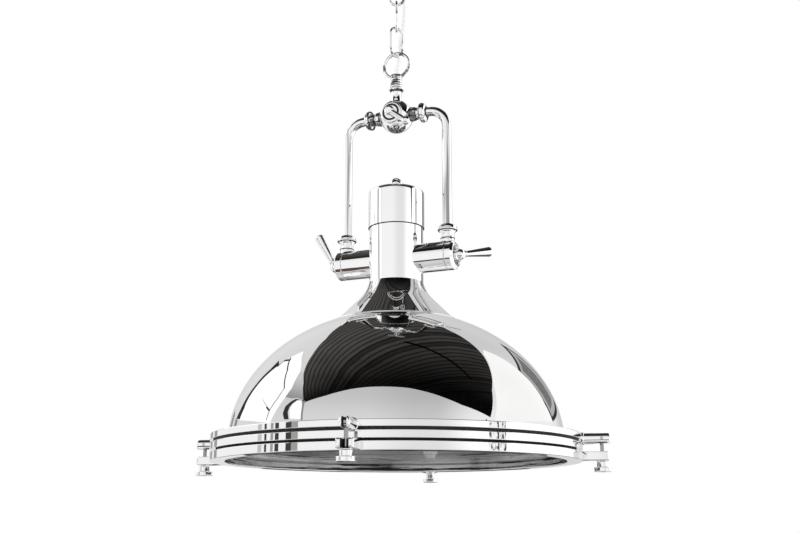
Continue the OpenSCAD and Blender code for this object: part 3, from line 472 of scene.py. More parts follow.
CHROME = finish_of("chrome_plate", chrome_plate((0.97, 0.97, 0.972), (0.93, 0.932, 0.938), 0.02, 0.0001))
SPUN_CHROME = finish_of("spun_chrome", chrome_plate((0.72, 0.72, 0.718), (0.665, 0.666, 0.667), 0.02, 0.0002))
CAST_CHROME = finish_of("cast_chrome", chrome_plate((0.95, 0.95, 0.952), (0.88, 0.882, 0.888), 0.04, 0.00014))
# Swing bolts: chrome with a dark base colour, painted shade of the slots they stand in
SHADED_BOLT_CHROME = finish_of("bolt_chrome_painted_shade", chrome_plate((0.46, 0.453, 0.446), (0.26, 0.256, 0.252), 0.06, 0.00005))
# Chrome with dark spots of painted reflection, for the chain, ring, barrel and collars
SPOTTED_REFLECTION_CHROME = finish_of("spotted_reflection_chrome", spotted_reflection_plate)
TUBE_CHROME = finish_of("tube_chrome", lined_reflection_tube)
LINING = finish_of("bright_lining", bright_lining)
# Finishes for thin walls inside the rim, streaked with painted reflection
DOOR_WALL = finish_of("door_wall", painted_reflection_wall((0.05, 0.045, 0.04), (0.96, 0.955, 0.95), 0.44, 0.54))
INNER_WALL = finish_of("inner_wall", painted_reflection_wall((0.10, 0.09, 0.08), (0.98, 0.98, 0.98), 0.38, 0.50))
PANE = finish_of("clear_pane", clear_pane)
STEEL = finish_of("plain_steel", grained(
    30.0, 3.0, (0.42, 0.43, 0.45), (0.62, 0.63, 0.65), 0.3, 0.2, 0.0001, (1.0, 9.0, 9.0), Metallic=1.0,
))
BRASS = finish_of("drawn_brass", grained(
    40.0, 3.0, (0.55, 0.40, 0.16), (0.76, 0.58, 0.27), 0.22, 0.2, 0.00008, (1.0, 1.0, 6.0), Metallic=1.0,
))
CERAMIC = finish_of("glazed_ceramic", grained(
    60.0, 3.0, (0.80, 0.78, 0.73), (0.88, 0.87, 0.83), 0.18, 0.2, 0.0001,
))
# Black rubber for the pane's gasket, also used for the black rings and slot pieces of painted shade
BLACK_RUBBER_AND_SHADE = finish_of("black_rubber", grained(
    260.0, 3.0, (0.012, 0.012, 0.012), (0.035, 0.035, 0.036), 0.6, 0.25, 0.0002,
))
PLASTIC = finish_of("moulded_plastic", grained(
    320.0, 2.0, (0.80, 0.80, 0.78), (0.86, 0.86, 0.84), 0.38, 0.15, 0.0001,
))
BULB = finish_of("frosted_bulb", grained(
    18.0, 3.0, (0.88, 0.88, 0.87), (0.95, 0.95, 0.94), 0.35, 0.12, **see_through(0.55, 1.45),
))
SHEATH = finish_of("clear_sheath", grained(
    70.0, 3.0, (0.975, 0.98, 0.98), (0.998, 0.998, 0.998), 0.02, 0.05, **see_through(1.0, 1.07),
))
BRAID = finish_of("tinned_braid", grained(
    240.0, 2.0, (0.95, 0.95, 0.95), (0.99, 0.99, 0.99), 0.35, 0.2, stretch=(1.0, 1.0, 0.45),
    **see_through(0.85, 1.05),
))
PALE_FLOOR = finish_of("pale_floor", grained(1.4, 3.0, (0.86, 0.86, 0.855), (0.90, 0.90, 0.895), 0.7, 0.1))


# ---------------------------------------------------------------- cable

def cable_line(bits=4):
    """The cable's route with smooth bends through its points, in metres."""
    route = [Vector(p) * MM for p in CABLE_ROUTE]
    line = []
    for i in range(len(route) - 1):
        a, b = route[max(i - 1, 0)], route[i]
        c, d = route[i + 1], route[min(i + 2, len(route) - 1)]
        for k in range(bits):
            t = k / bits
            curve = (2 * a - 5 * b + 4 * c - d) * t ** 2 + (3 * b - a - 3 * c + d) * t ** 3
            line.append(0.5 * (2 * b + (c - a) * t + curve))
    return line + [route[-1]]


def drawn_cord(name, line, diameter):
    clear_bench()
    bpy.ops.curve.primitive_nurbs_path_add()
    piece = bpy.context.object
    piece.name = name
    curve = piece.data
    curve.splines.clear()
    spline = curve.splines.new("POLY")
    spline.points.add(len(line) - 1)
    for point, at in zip(spline.points, line):
        point.co = (*at, 1)
    curve.bevel_depth, curve.bevel_resolution, curve.use_fill_caps = diameter / 2, 5, True
    bpy.ops.object.convert(target="MESH")
    return bpy.context.object


def make_cable():
    line = cable_line()
    length = sum((b - a).length for a, b in zip(line, line[1:]))
    core = drawn_cord("cable_core", line, CORE_D * MM)
    dress(core, BRAID, "base", "clear_plastic")
    sheath = drawn_cord("cable_sheath", line, CABLE_D * MM)
    dress(sheath, SHEATH, "base", "clear_plastic", "cable")


# ---------------------------------------------------------------- ceiling fitting and chain

def make_ceiling_fitting():
    bend, bore = 8, CABLE_D / 2 + 0.02
    x, z = CUP_R - bend, CUP_Z + bend
    cup = turned("ceiling_cup", [
        (CUP_R - SHEET, 0), (CUP_R, 0, 0.5), *arc(x, z, bend, 0, -90), (4, CUP_Z), (4, CUP_Z + SHEET),
        *arc(x, z, bend - SHEET, -90, 0),
    ], 144)
    cut(cup, set_at(bar("gland_hole", 4.5, -10, 10, 48), GLAND_AT))
    dress(cup, CHROME, "base", "chrome", "canopy_cup")
    nut = turned("cup_nut", [
        (4, -5), (5.5, -5, 0.3), (8, -3.6, 0.8), (8, -1.2, 0.6), (7.2, -0.6, 0.3), (7.2, 0), (4, 0),
    ], 96)
    dress(set_at(nut, (0, 0, CUP_Z)), CHROME, "base", "chrome", "canopy_nut")
    eye = wire_start("eye_bend", 4.5, 11, 0)
    bow(360, 0, 0, 72)
    set_at(close_up(eye), (0, 0, EYE_Z), (0, 0, LINK_TURNS[0] - 90))
    rod = turned("eye_rod", [(0, -38.5), (4, -38.5, 0.8), (4, -1.5, 0.4), (0, -1.5)], 48, closed=False)
    dress(joined("ceiling_eye_bolt", eye, rod), CHROME, "base", "chrome", "ceiling_eye")
    ribs = [(6 if k % 2 else 5.5, -5.2 + 0.7 * k, 0.2) for k in range(7)]
    gland = turned("gland_cone", [
        (bore, -6), (4.6, -6, 0.5), *ribs, (6, 0, 0.1), (4.5, 0), (4.5, 3.2, 0.3), (bore, 3.2),
    ], 64)
    dress(set_at(gland, GLAND_AT), PLASTIC, "base", "white_plastic", "cable_gland")
    # In the photograph nothing above the chain is mirrored in the shade
    for piece in (cup, nut, gland):
        piece.visible_glossy = False


def make_chain():
    """Three links: each a long loop of wire, slightly thicker at the weld in one side."""
    wire, span, r = 3.6, 44.5, 10.2
    weld, half, ease, swell = -22, 1.6, 0.7, 1.1
    low = r - span
    link = wire_start("link_pattern", wire, r, low)
    draw_out(0, weld - half - low)
    draw_out(0, ease, swell, (r, 0, weld - half + ease))
    draw_out(0, 2 * (half - ease))
    draw_out(0, ease, 1 / swell, (r, 0, weld + half))
    draw_out(0, -r - (weld + half))
    bow(180, 0, -r, 28)
    draw_out(0, 2 * r - span)
    bow(180, 0, low, 28)
    close_up(link)
    for place, node, top, turn in zip(
        ("upper", "middle", "lower"), ("link_top", "link_middle", "link_bottom"), LINK_TOPS, LINK_TURNS,
    ):
        one = set_at(copy_of(link, place + "_chain_link"), (0, 0, top), (0, 0, turn))
        dress(one, SPOTTED_REFLECTION_CHROME, place + "_link", "chrome", node)
    bpy.data.objects.remove(link)


def painted_shade_rings(places):
    """Black rings at the joints of turned fittings, painted shade for the dark gaps there, by radius, height
    and depth.
    """
    return [
        turned("seam", [(r - 1, z), (r + 0.5, z, 0.2), (r + 0.5, z + deep, 0.2), (r - 1, z + deep)], 96)
        for r, z, deep in places
    ]


def make_loop():
    ring = wire_start("hanging_ring", 4.5, 18.75, 0)
    bow(360, 0, 0, 96)
    dress(set_at(close_up(ring), (0, 0, LOOP_Z)), SPOTTED_REFLECTION_CHROME, "loop", "chrome", "loop_ring")
    count, taper, mouth = 4, 0.25, BARREL_TOP + 0.2
    step = (BARREL_Z - COLLAR_TOP) / count
    ribs, shade_ring_places = [], []
    for i in range(count):
        foot, reach = COLLAR_TOP + i * step, 8.7 - taper * i
        ribs += [(reach - 1.1, foot), (reach, foot + 0.32 * step, 0.9), (reach, foot + 0.78 * step, 0.9)]
        shade_ring_places.append((reach - 1.1, foot - 0.1, 1.0))
    barrel = turned("ribbed_barrel", [
        (3.1, mouth), (3.1, COLLAR_TOP), (7.2, COLLAR_TOP), *ribs, (6.9, BARREL_Z), (8.5, BARREL_Z, 0.5),
        (8.5, BARREL_TOP - 1.4, 1.2), (6.6, BARREL_TOP, 1.2), (4.2, mouth, 0.4),
    ], 112)
    dress(barrel, SPOTTED_REFLECTION_CHROME, "loop", "chrome", "loop_barrel")
    collar = turned("loop_flange", [
        (5.6, COLLAR_Z), (8.8, COLLAR_Z, 0.9), (11.2, COLLAR_Z + 1.2, 1.2), (11.2, COLLAR_TOP - 1.2, 1.2),
        (8.8, COLLAR_TOP, 0.9), (5.6, COLLAR_TOP),
    ], 112)
    dress(collar, SPOTTED_REFLECTION_CHROME, "loop", "chrome", "loop_collar")
    # Black rings of painted shade at the barrel's ribs, its top and the flange
    rings = painted_shade_rings([*shade_ring_places, (8.2, BARREL_TOP - 1.9, 1.0), (8.4, COLLAR_Z - 0.5, 1.0)])
    dress(joined("loop_painted_shade", *rings), BLACK_RUBBER_AND_SHADE, "loop", "black_rubber")


# ---------------------------------------------------------------- hub and yoke

def make_hub():
    front, forward = (0, -HUB_FACE, HUB_Z), (90, 0, 0)
    ball = turned("hub_body", [
        (0, -HUB_R), *arc(0, 0, HUB_R, -86, 43, 43), (15.9, HUB_FACE - 0.1, 0.6), (15.0, HUB_FACE),
        (0, HUB_FACE),
    ], 128, closed=False)
    dress(set_at(ball, (0, 0, HUB_Z), forward), CHROME, "yoke", "chrome", "hub_ball")
    foot, head = HUB_Z + 22.6, COLLAR_Z - 1.9
    stem = turned("hub_stem_turning", [
        (0, foot - 1.2), (8.5, foot - 1.2, 0.3), (8.1, foot + 2.4, 1.4), (7.3, head - 7.9, 3),
        (7.5, head - 2.7, 2), (8, head - 0.7, 0.5), (7.5, head, 0.3), (5.5, head), (5.5, head + 6.3),
        (0, head + 6.3),
    ], 96, closed=False)
    dress(stem, CHROME, "yoke", "chrome", "hub_stem")
    face = turned("hub_face", [
        (0, 0), (15.5, 0), (15.5, 2.2, 0.9), (13.9, 3, 0.5), (12.5, 3, 0.25), (12.3, 1.8, 0.25),
        (9.7, 1.8, 0.25), (9.5, 3, 0.25), (0, 3),
    ], 112, closed=False)
    dress(set_at(face, front, forward), CHROME, "yoke", "chrome", "hub_face_disc")
    # Black ring in the face's groove: painted shade
    lining = plain_ring("hub_face_painted_shade", 9.9, 12.1, 1.9, 2.3, 112)
    dress(set_at(lining, front, forward), BLACK_RUBBER_AND_SHADE, "yoke", "black_rubber")
    boss = turned("lever_boss", [
        (0, 3.3), (7, 3.3, 0.4), (7, 10, 1.4), (4.5, 11.8, 0.8), (0, 11.8),
    ], 80, closed=False)
    set_at(boss, front, forward)
    rod = turned("lever_rod", [
        (0, 0), (4.1, 0), (4.0, 12), (3.8, 25.8), *arc(0, 31, 6.2, -52, 90, 18),
    ], 64, closed=False)
    set_at(rod, (0, -HUB_FACE - 7.55, HUB_Z), (0, 90 + LEVER_LEAN, 0))
    dress(joined("hub_lock_lever", boss, rod), CHROME, "hub_lock", "chrome", "hub_lever")


def make_hub_collars():
    collar = turned("hub_collar", [
        (3.2, 20.4), (10, 20.4), (10, 28.6, 1.2), (8.4, 31.4, 0.8),
        *quarter_bend(33.5, 7.6, 39, 14, bits=14)[:-1], (14, 39, 0.5), (14, 40.6, 0.5),
        *quarter_bend(41, 13.6, 46, 7.5), (TUBE_R, 46), (TUBE_R, TUBE_START), (3.2, TUBE_START),
    ], 112)
    right = set_at(copy_of(collar, "hub_collar_right"), (0, 0, HUB_Z), (0, 90, 0))
    left = set_at(collar, (0, 0, HUB_Z), (0, -90, 0))
    dress(joined("yoke_hub_collars", right, left), SPOTTED_REFLECTION_CHROME, "yoke", "chrome", "hub_collars")
    # Black rings of painted shade at the collars' joints
    shade_ring_places = [(9.9, 23, 1.2), (8.2, 31, 1.2), (13, 37.9, 1.0), (7.4, 45.4, 1.3)]
    rings = [
        set_at(ring, (0, 0, HUB_Z), (0, 90 * side, 0)) for side in (-1, 1) for ring in painted_shade_rings(shade_ring_places)
    ]
    dress(joined("hub_collar_painted_shade", *rings), BLACK_RUBBER_AND_SHADE, "yoke", "black_rubber")


def make_tubes():
    bend_x, bend_z = LEG_X - BEND_R, HUB_Z - BEND_R
    for side, name in ((1, "right"), (-1, "left")):
        tube = wire_start("yoke_tube_" + name, 2 * TUBE_R, side * TUBE_START, HUB_Z, 48, turn=90)
        draw_out(side * (bend_x - TUBE_START), 0)
        bow(-side * 90, side * bend_x, bend_z, 28)
        draw_out(0, LEG_Z - bend_z)
        dress(close_up(tube), TUBE_CHROME, "yoke", "chrome", "tube_" + name)


def make_leg_collars():
    foot = LEG_Z
    collar = turned("leg_collar", [
        (5, foot - 8), (9.6, foot - 8), (9.5, foot - 1.6, 1), (8.9, foot + 2, 1.5),
        *quarter_bend(foot + 5, 8.8, foot + 12, 13.5, bits=14)[:-1], (13.5, foot + 12, 0.5),
        (13.5, foot + 13.6, 0.5), *quarter_bend(foot + 14, 13.1, foot + 20, 7.5), (TUBE_R, foot + 20),
        (TUBE_R, foot), (5, foot),
    ], 112)
    right = set_at(copy_of(collar, "leg_collar_right"), (LEG_X, 0, 0))
    left = set_at(collar, (-LEG_X, 0, 0))
    clear, tight = ARM_R + 0.8, ARM_R - 0.05
    saddle = [
        (0, 40), (clear, 40), (clear, SLEEVE_START), (tight, SLEEVE_START), (tight, 100), (0, 100),
    ]
    for one, side in ((right, 1), (left, -1)):
        cutter = turned("saddle", saddle, 112, closed=False)
        cut(one, set_at(cutter, (0, 0, TILT_Z), (0, 90 * side, 0)))
    dress(joined("yoke_leg_collars", right, left), CHROME, "yoke", "chrome", "leg_collars")
    # Black rings of painted shade at the collars' joints
    shade_ring_places = [(12.4, foot + 11.2, 0.8), (7.4, foot + 19.2, 1.1), (9.3, foot + 0.2, 0.9)]
    rings = [set_at(ring, (LEG_X * side, 0, 0)) for side in (-1, 1) for ring in painted_shade_rings(shade_ring_places)]
    dress(joined("leg_collar_painted_shade", *rings), BLACK_RUBBER_AND_SHADE, "yoke", "black_rubber")


def both_ends(name, points, steps=112, closed=True):
    """A turned piece on each end of the tilt axis."""
    one = turned(name, points, steps, closed)
    right = set_at(copy_of(one, name + "_right"), (0, 0, TILT_Z), (0, 90, 0))
    return joined(name, right, set_at(one, (0, 0, TILT_Z), (0, -90, 0)))


def make_pivots():
    bore, hole = SHAFT_R + 0.05, 4.05
    sleeves = both_ends("yoke_sleeves", [
        (bore, SLEEVE_START), (ARM_R, SLEEVE_START, 0.9), (ARM_R, SLEEVE_END), (bore, SLEEVE_END),
    ])
    dress(sleeves, CHROME, "yoke", "chrome", "sleeves")
    recess = SLEEVE_END + 1.5
    caps = both_ends("sleeve_caps", [
        (hole, SLEEVE_END), (ARM_R, SLEEVE_END), (ARM_R, SLEEVE_END + 0.5, 0.3), (16.4, SLEEVE_END + 3.8, 0.6),
        (15.2, SLEEVE_END + 4, 0.4), (14.8, recess, 0.4), (9, recess, 0.3), (hole, recess),
    ])
    dress(caps, CHROME, "yoke", "chrome", "end_caps")
    end, shaft_end = SLEEVE_START - 0.3, SLEEVE_END - 2.5
    arms = both_ends("pivot_arms", [
        (0, 30), (ARM_R, 30), (ARM_R, end, 0.9), (SHAFT_R, end), (SHAFT_R, shaft_end, 0.6), (0, shaft_end),
    ], closed=False)
    cut(arms, bar("housing_bore", HOUSE_R - 0.8, TILT_Z - 2 * ARM_R, TILT_Z + 2 * ARM_R, 96))
    dress(arms, CHROME, "head", "chrome", "arms")


def make_clamp_levers():
    ball = [
        (0, 78), (4, 78), (4, 85.3), (6, 85.3, 0.3), (6, 86.6), *arc(0, BALL_X, 7.5, -46, 90, 22),
    ]
    grip = [
        (0, 4), (3.8, 4), (3.8, 8.2, 0.4), (4.7, 8.6, 0.4), (4.7, 9.8, 0.4), (3.9, 10.3, 0.4),
        (6.9, 52.8, 0.6), (6, 54, 0.7), (0, 54),
    ]
    for side, name, turn in ((1, "right", 75), (-1, "left", 0)):
        boss = turned("lever_ball_" + name, ball, 72, closed=False)
        set_at(boss, (0, 0, TILT_Z), (0, 90 * side, 0))
        dress(boss, CHROME, name + "_lock", "chrome", "boss_" + name)
        handle = turned("lever_grip_" + name, grip, 72, closed=False)
        set_at(handle, (0, 0, 0), (0, 30 * side, 0))
        set_at(handle, (BALL_X * side, 0, TILT_Z), (-turn, 0, 0))
        dress(handle, CHROME, name + "_lock", "chrome", "handle_" + name)


# ---------------------------------------------------------------- head

def dome_height(r):
    return DOME_LEVEL + DOME_RISE * sqrt(1 - (r / DOME_R) ** 2)


def dome_curve(inset, low, hole, bits):
    """The dome's section this far inside its outer face, from a height up to the hole for the neck."""
    reach, rise = DOME_R - inset, DOME_RISE - inset
    start, end = asin((low - DOME_LEVEL) / rise), acos(hole / reach)
    turns = [start + (end - start) * k / bits for k in range(bits + 1)]
    return [(reach * cos(t), DOME_LEVEL + rise * sin(t)) for t in turns]


def make_housing():
    inside, spigot, spigot_top = HOUSE_R - 2, HOUSE_R - 0.8, HOUSE_TOP + 10
    housing = turned("lamp_housing", [
        (inside, HOUSE_Z), (HOUSE_R, HOUSE_Z), (HOUSE_R, HOUSE_TOP), (spigot, HOUSE_TOP),
        (spigot, spigot_top, 0.5), (inside, spigot_top),
    ], 160)
    on_head(housing, CHROME, "chrome", "housing")
    bend, wall, hole = 6, 2.4, 3.1
    x, z = CAP_R - bend, CAP_TOP - bend
    cap = turned("slip_over_cap", [
        (CAP_R - wall, HOUSE_TOP), (CAP_R, HOUSE_TOP, 0.3), (CAP_R, z - 0.8), *arc(x, z, bend, 0, 90, 14),
        (x - 0.9, CAP_TOP), (hole, CAP_TOP), (hole, CAP_TOP - wall), *arc(x, z, bend - wall, 90, 0, 8),
    ], 160)
    on_head(cap, CHROME, "chrome", "housing_cap")
    low = HOUSE_TOP - 0.9
    # Black ring under the cap's lip: painted shade of the gap there
    seal = turned("cap_painted_shade", [(36.9, low), (37.6, low, 0.2), (37.6, HOUSE_TOP), (36.9, HOUSE_TOP)], 128)
    on_head(seal, BLACK_RUBBER_AND_SHADE, "black_rubber")
    screw_end = CAP_TOP - 50.5
    finial = turned("cap_finial", [
        (0, screw_end), (3, screw_end), (3, CAP_TOP), (5.2, CAP_TOP, 0.2), (5.2, CAP_TOP + 0.6, 0.3),
        *arc(0, CAP_TOP + 9, 10, -58, 90, 22),
    ], 80, closed=False)
    on_head(finial, CHROME, "chrome", "finial")


def make_shade():
    bend, start, foot, lip, hole = 54, 15, 64, 84, 72
    x, z = HOUSE_R + bend * cos(radians(start)), HOUSE_Z + bend * sin(radians(start))
    outside = arc(x, z, bend, 180 + start, 225, 14)
    inside = arc(x, z, bend + SHEET, 225, 180 + start, 14)
    bend_end, lip_z = outside[-1], dome_height(lip)
    neck = turned("flared_neck", [
        *outside, (foot, bend_end[1] - (foot - bend_end[0])), (79.6, dome_height(81) + 1.4, 0.5),
        (lip, lip_z + 1.2, 0.6), (lip, lip_z - 0.2), (77.6, dome_height(77.6)), *inside,
        (inside[-1][0], HOUSE_Z),
    ], 192)
    on_head(neck, SPUN_CHROME, "chrome", "neck", crease=28)
    dome = turned("domed_shade", [
        (DOME_EDGE, UPPER_Z), *dome_curve(0, UPPER_TOP, hole, 72),
        *dome_curve(SHEET, UPPER_TOP, hole, 40)[::-1], (DOME_EDGE - SHEET, UPPER_Z),
    ], 224)
    on_head(dome, SPUN_CHROME, "chrome", "dome")
    low, film = 27, 0.3
    lining = turned("shade_lining", [
        *dome_curve(SHEET + film, low, hole + 0.4, 48),
        *dome_curve(SHEET + 2 * film, low, hole + 0.4, 48)[::-1],
    ], 160)
    on_head(lining, LINING, "chrome")


def make_lug(name):
    """A lug of the door ring, with a slot for the bolt."""
    half, end, slot = 10.25, 272.5, 4.5
    lug = block(name, (RIM_R - 0.8, -half, 0.1), (end, half, 11))
    take(lug)
    bpy.ops.object.mode_set(mode="EDIT")
    bpy.ops.mesh.select_all(action="DESELECT")
    bpy.ops.object.mode_set(mode="OBJECT")
    # Round the two upright edges at the outer end
    for edge in lug.data.edges:
        ends = [lug.data.vertices[v].co for v in edge.vertices]
        edge.select = all(p.x > 0.26 for p in ends) and abs(ends[0].z - ends[1].z) > 0.005
    bpy.ops.object.mode_set(mode="EDIT")
    bpy.ops.mesh.bevel(offset=3 * MM, segments=5)
    bpy.ops.object.mode_set(mode="OBJECT")
    notch = set_at(bar("notch", slot, -5, 20, 40), (PIN_X, 0, 0))
    cut(lug, notch, block("slot", (PIN_X, -slot, -5), (300, slot, 20)))
    return soften(lug, 0.7)


def make_rim():
    upper = turned("upper_rim_band", [
        (DOME_EDGE, UPPER_Z), (RIM_R, UPPER_Z, 0.8), (RIM_R, UPPER_TOP, 0.9), (DOME_EDGE, UPPER_TOP),
    ], 240)
    on_head(upper, CAST_CHROME, "plated_alloy", "rim_top")
    middle = turned("middle_rim_band", [
        (212, MIDDLE_Z), (RIM_R, MIDDLE_Z, 0.8), (RIM_R, MIDDLE_TOP, 0.8), (233, MIDDLE_TOP), (233, UPPER_Z),
        (212, UPPER_Z),
    ], 240)
    on_head(middle, CAST_CHROME, "plated_alloy", "rim_mid")
    film = MIDDLE_Z - 0.3
    seal = turned("pane_gasket", [
        (212.4, film), (228.4, film), (228.4, PANE_Z), (232, PANE_Z), (231, 11.2, 0.5), (232, MIDDLE_Z),
        (212.4, MIDDLE_Z),
    ], 192)
    on_head(seal, BLACK_RUBBER_AND_SHADE, "black_rubber", "gasket")
    # Black ring in the groove between the middle and upper bands: painted shade
    upper_groove_shade = turned("upper_groove_painted_shade", [
        (232.9, MIDDLE_TOP), (236, MIDDLE_TOP), (235.2, 23.7, 0.5), (236, UPPER_Z), (232.9, UPPER_Z),
    ], 192)
    on_head(upper_groove_shade, BLACK_RUBBER_AND_SHADE, "black_rubber")
    pane = turned("door_pane", [
        (0, PANE_Z), (228, PANE_Z, 0.5), (228, PANE_TOP, 0.5), (0, PANE_TOP),
    ], 192, closed=False)
    on_head(pane, PANE, "clear_glass", "glass_pane")
    ring = turned("door_band", [
        (220, 0, 0.9), (RIM_R, 0, 1.0), (RIM_R, DOOR_TOP, 0.7), (232.6, DOOR_TOP), (232.6, PANE_Z),
        (228.6, PANE_Z), (220, PANE_Z, 0.3),
    ], 240)
    lugs = [set_at(make_lug(f"lug_{k}"), (0, 0, 0), (0, 0, turn)) for k, turn in enumerate(CLAMP_TURNS)]
    on_head(joined("door_ring_with_lugs", ring, *lugs), CAST_CHROME, "plated_alloy", "door_ring")


def make_rim_walls():
    """Thin walls inside the rim that carry a painted reflection, and black pieces of painted shade in the
    slots of the lugs and studs.
    """
    on_head(plain_ring("door_wall_band", 219.5, 219.9, 1.2, 9.3, 192), DOOR_WALL, "plated_alloy")
    on_head(plain_ring("inner_wall_band", 211.5, 211.9, 13.2, 25.3, 192), INNER_WALL, "plated_alloy")
    # Black half rings and cheeks in the slots: painted shade
    near, far, low, high = 3.95, 4.4, 0.5, 10.4
    slot_shades = []
    for k, turn in enumerate(CLAMP_TURNS):
        half = plain_ring("half", near, far, low, high, 40)
        cut(set_at(half, (PIN_X, 0, 0)), block("outer_half", (PIN_X, -9, -5), (300, 9, 20)))
        parts = [half]
        for side in (-1, 1):
            y1, y2 = sorted((side * near, side * far))
            parts.append(block("cheek", (PIN_X - 0.1, y1, low), (271.6, y2, high)))
            y1, y2 = sorted((side * 2.6, side * 2.95))
            parts.append(block("stud_cheek", (254.2, y1, PIN_H - 5.8), (272, y2, PIN_H + 5.8)))
        slot_shades.append(set_at(joined(f"lining_{k}", *parts), (0, 0, 0), (0, 0, turn)))
    on_head(joined("clamp_slot_painted_shade", *slot_shades), BLACK_RUBBER_AND_SHADE, "black_rubber")


def make_studs():
    studs, pins = [], []
    for k, turn in enumerate(CLAMP_TURNS):
        stud = turned(f"stud_{k}", [
            (0, 238.4), (7.9, 238.4), (7.9, 241.4, 0.5), (7, 242.4, 0.5), (7, 273.2, 1.5), (5.2, 275, 0.8),
            (0, 275),
        ], 64, closed=False)
        set_at(stud, (0, 0, PIN_H), (0, 90, 0))
        cut(stud, block("fork_slot", (254, -3, 10), (290, 3, 50)))
        studs.append(set_at(soften(stud, 0.35, 50), (0, 0, 0), (0, 0, turn)))
        pin = turned(f"pin_{k}", [(0, -7.1), (2, -7.1, 0.5), (2, 7.1, 0.5), (0, 7.1)], 40, closed=False)
        set_at(pin, (PIN_X, 0, PIN_H), (90, 0, 0))
        pins.append(set_at(pin, (0, 0, 0), (0, 0, turn)))
    on_head(joined("forked_studs", *studs), CHROME, "chrome", "clevises")
    on_head(joined("cross_pins", *pins), STEEL, "plain_steel", "clevis_pins")


def make_bolts():
    """The swing bolts with their nuts and washers, by heights from the cross pin."""
    seat, bolt_r, bore, nut_r = -PIN_H - 0.3, 2.5, 2.6, 7.25
    end, low, top, washer_z = seat - 11.7, seat - 8, seat - 1.3, seat - 1
    thread = []
    for k in range(17):
        z = seat - 10.7 + PITCH * k
        thread += [(2.2, z), (bolt_r, z + PITCH / 2)]
    for i, turn in enumerate(CLAMP_TURNS, 1):
        eye = turned("eye", [(2.05, -2.2), (5.6, -2.2, 0.5), (5.6, 2.2, 0.5), (2.05, 2.2)], 56)
        set_at(eye, (0, 0, 0), (90, 0, 0))
        shank = turned("shank", [
            (0, end), (1.9, end, 0.4), *thread, (bolt_r, seat + 3.1), (bolt_r, -4), (0, -4),
        ], 40, closed=False)
        nut = turned(f"thumb_nut_{i}", [
            (bore, low - 5.2, 0.3), (3.6, low - 5.7, 0.3), (11, low - 5.7, 0.9), (11, low, 0.9),
            (nut_r, low, 0.5), (nut_r, top, 0.6), (bore, top),
        ], 80)
        washer = turned(f"nut_washer_{i}", [
            (bore, washer_z), (nut_r, washer_z, 0.25), (nut_r, seat, 0.25), (bore, seat),
        ], 64)
        bolt = joined(f"swing_bolt_{i}", eye, shank)
        for piece, finish, body, node in (
            (bolt, SHADED_BOLT_CHROME, "swing", "bolt"), (nut, CHROME, "thumb", "nut"),
            (washer, CHROME, "carrier", "washer"),
        ):
            set_at(piece, (PIN_X, 0, PIN_H))
            set_at(piece, (0, 0, RIM_Z), (0, 0, turn))
            dress(piece, finish, f"{body}_{i}", "chrome", f"{node}_{i}")


def make_bulb():
    top = 187.73 + 2 + 26 / 3
    centre, r, neck, wall = 133.73, 30, 12.2, 1
    join = degrees(acos(neck / r))
    bulb = turned("frosted_bulb_glass", [
        *arc(0, centre, r, -90, join, 40), (neck, top), (neck - wall, top),
        *arc(0, centre, r - wall, join, -90, 30),
    ], 96, closed=False)
    on_head(bulb, BULB, "clear_glass", "bulb_glass")


make_cable()
make_ceiling_fitting()
make_chain()
make_loop()
make_hub()
make_hub_collars()
make_tubes()
make_leg_collars()
make_pivots()
make_clamp_levers()
make_housing()
make_shade()
make_rim()
make_rim_walls()
make_studs()
make_bolts()
make_bulb()

for node, finish in {
    "ceiling_strap": STEEL, "eye_nut": STEEL, "terminal_block": PLASTIC, "cap_bridge": STEEL,
    "holder_plate": STEEL, "holder_shell": BRASS, "holder_insert": CERAMIC, "bulb_cap": BRASS,
}.items():
    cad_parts[node].data.materials.clear()
    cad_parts[node].data.materials.append(finish)


# ---------------------------------------------------------------- studio

SHADE_MIDDLE = Vector((0, 0, -0.66))
ROOF_RISE, BOARD = 6.0, 0.072


def overhead(across, near, rise=ROOF_RISE):
    """A point of the roof, by its slope from the shade: to the right and towards the camera."""
    return SHADE_MIDDLE + rise * (across * RIGHT + near * NEAR + UP)


def standing(turn, height, distance):
    """A point round the lamp: degrees to the right of the camera, and degrees up."""
    level = sin(radians(turn)) * RIGHT + cos(radians(turn)) * NEAR
    return SHADE_MIDDLE + distance * (cos(radians(height)) * level + sin(radians(height)) * UP)


def panel(name, finish, corners):
    """A flat studio panel with these corners, seen only in reflections."""
    piece = single_point(name)
    bpy.ops.transform.translate(value=corners[0])
    for a, b in zip(corners, corners[1:]):
        bpy.ops.mesh.extrude_vertices_move(TRANSFORM_OT_translate={"value": b - a})
    bpy.ops.mesh.select_all(action="SELECT")
    bpy.ops.mesh.edge_face_add()
    bpy.ops.object.mode_set(mode="OBJECT")
    piece.data.materials.append(finish)
    piece.visible_camera = piece.visible_diffuse = piece.visible_shadow = piece.visible_transmission = False


def hung(name, finish, distance, *places):
    """A studio panel with its corners in these directions; a nearer one covers those behind it."""
    panel(name, finish, [standing(*at, distance) for at in places])


def strip(name, finish, width, *places):
    """A thin studio strip along a line of directions."""
    sides = [], []
    for i, (turn, height) in enumerate(places):
        a, b = places[max(i - 1, 0)], places[min(i + 1, len(places) - 1)]
        lean = atan2(b[1] - a[1], (b[0] - a[0]) * cos(radians(height)))
        for side, push in zip(sides, (width / 2, -width / 2)):
            side.append((turn - push * sin(lean) / cos(radians(height)), height + push * cos(lean)))
    hung(name, finish, 3.8, *sides[0], *sides[1][::-1])


def glow(name, colour):
    """A studio surface of its own even brightness."""
    return finish_of(name, lambda n: {
        "Base Color": (0, 0, 0, 1), "Roughness": 1.0, "Specular IOR Level": 0.0, "Emission Color": colour(n),
        "Emission Strength": 1.0,
    })


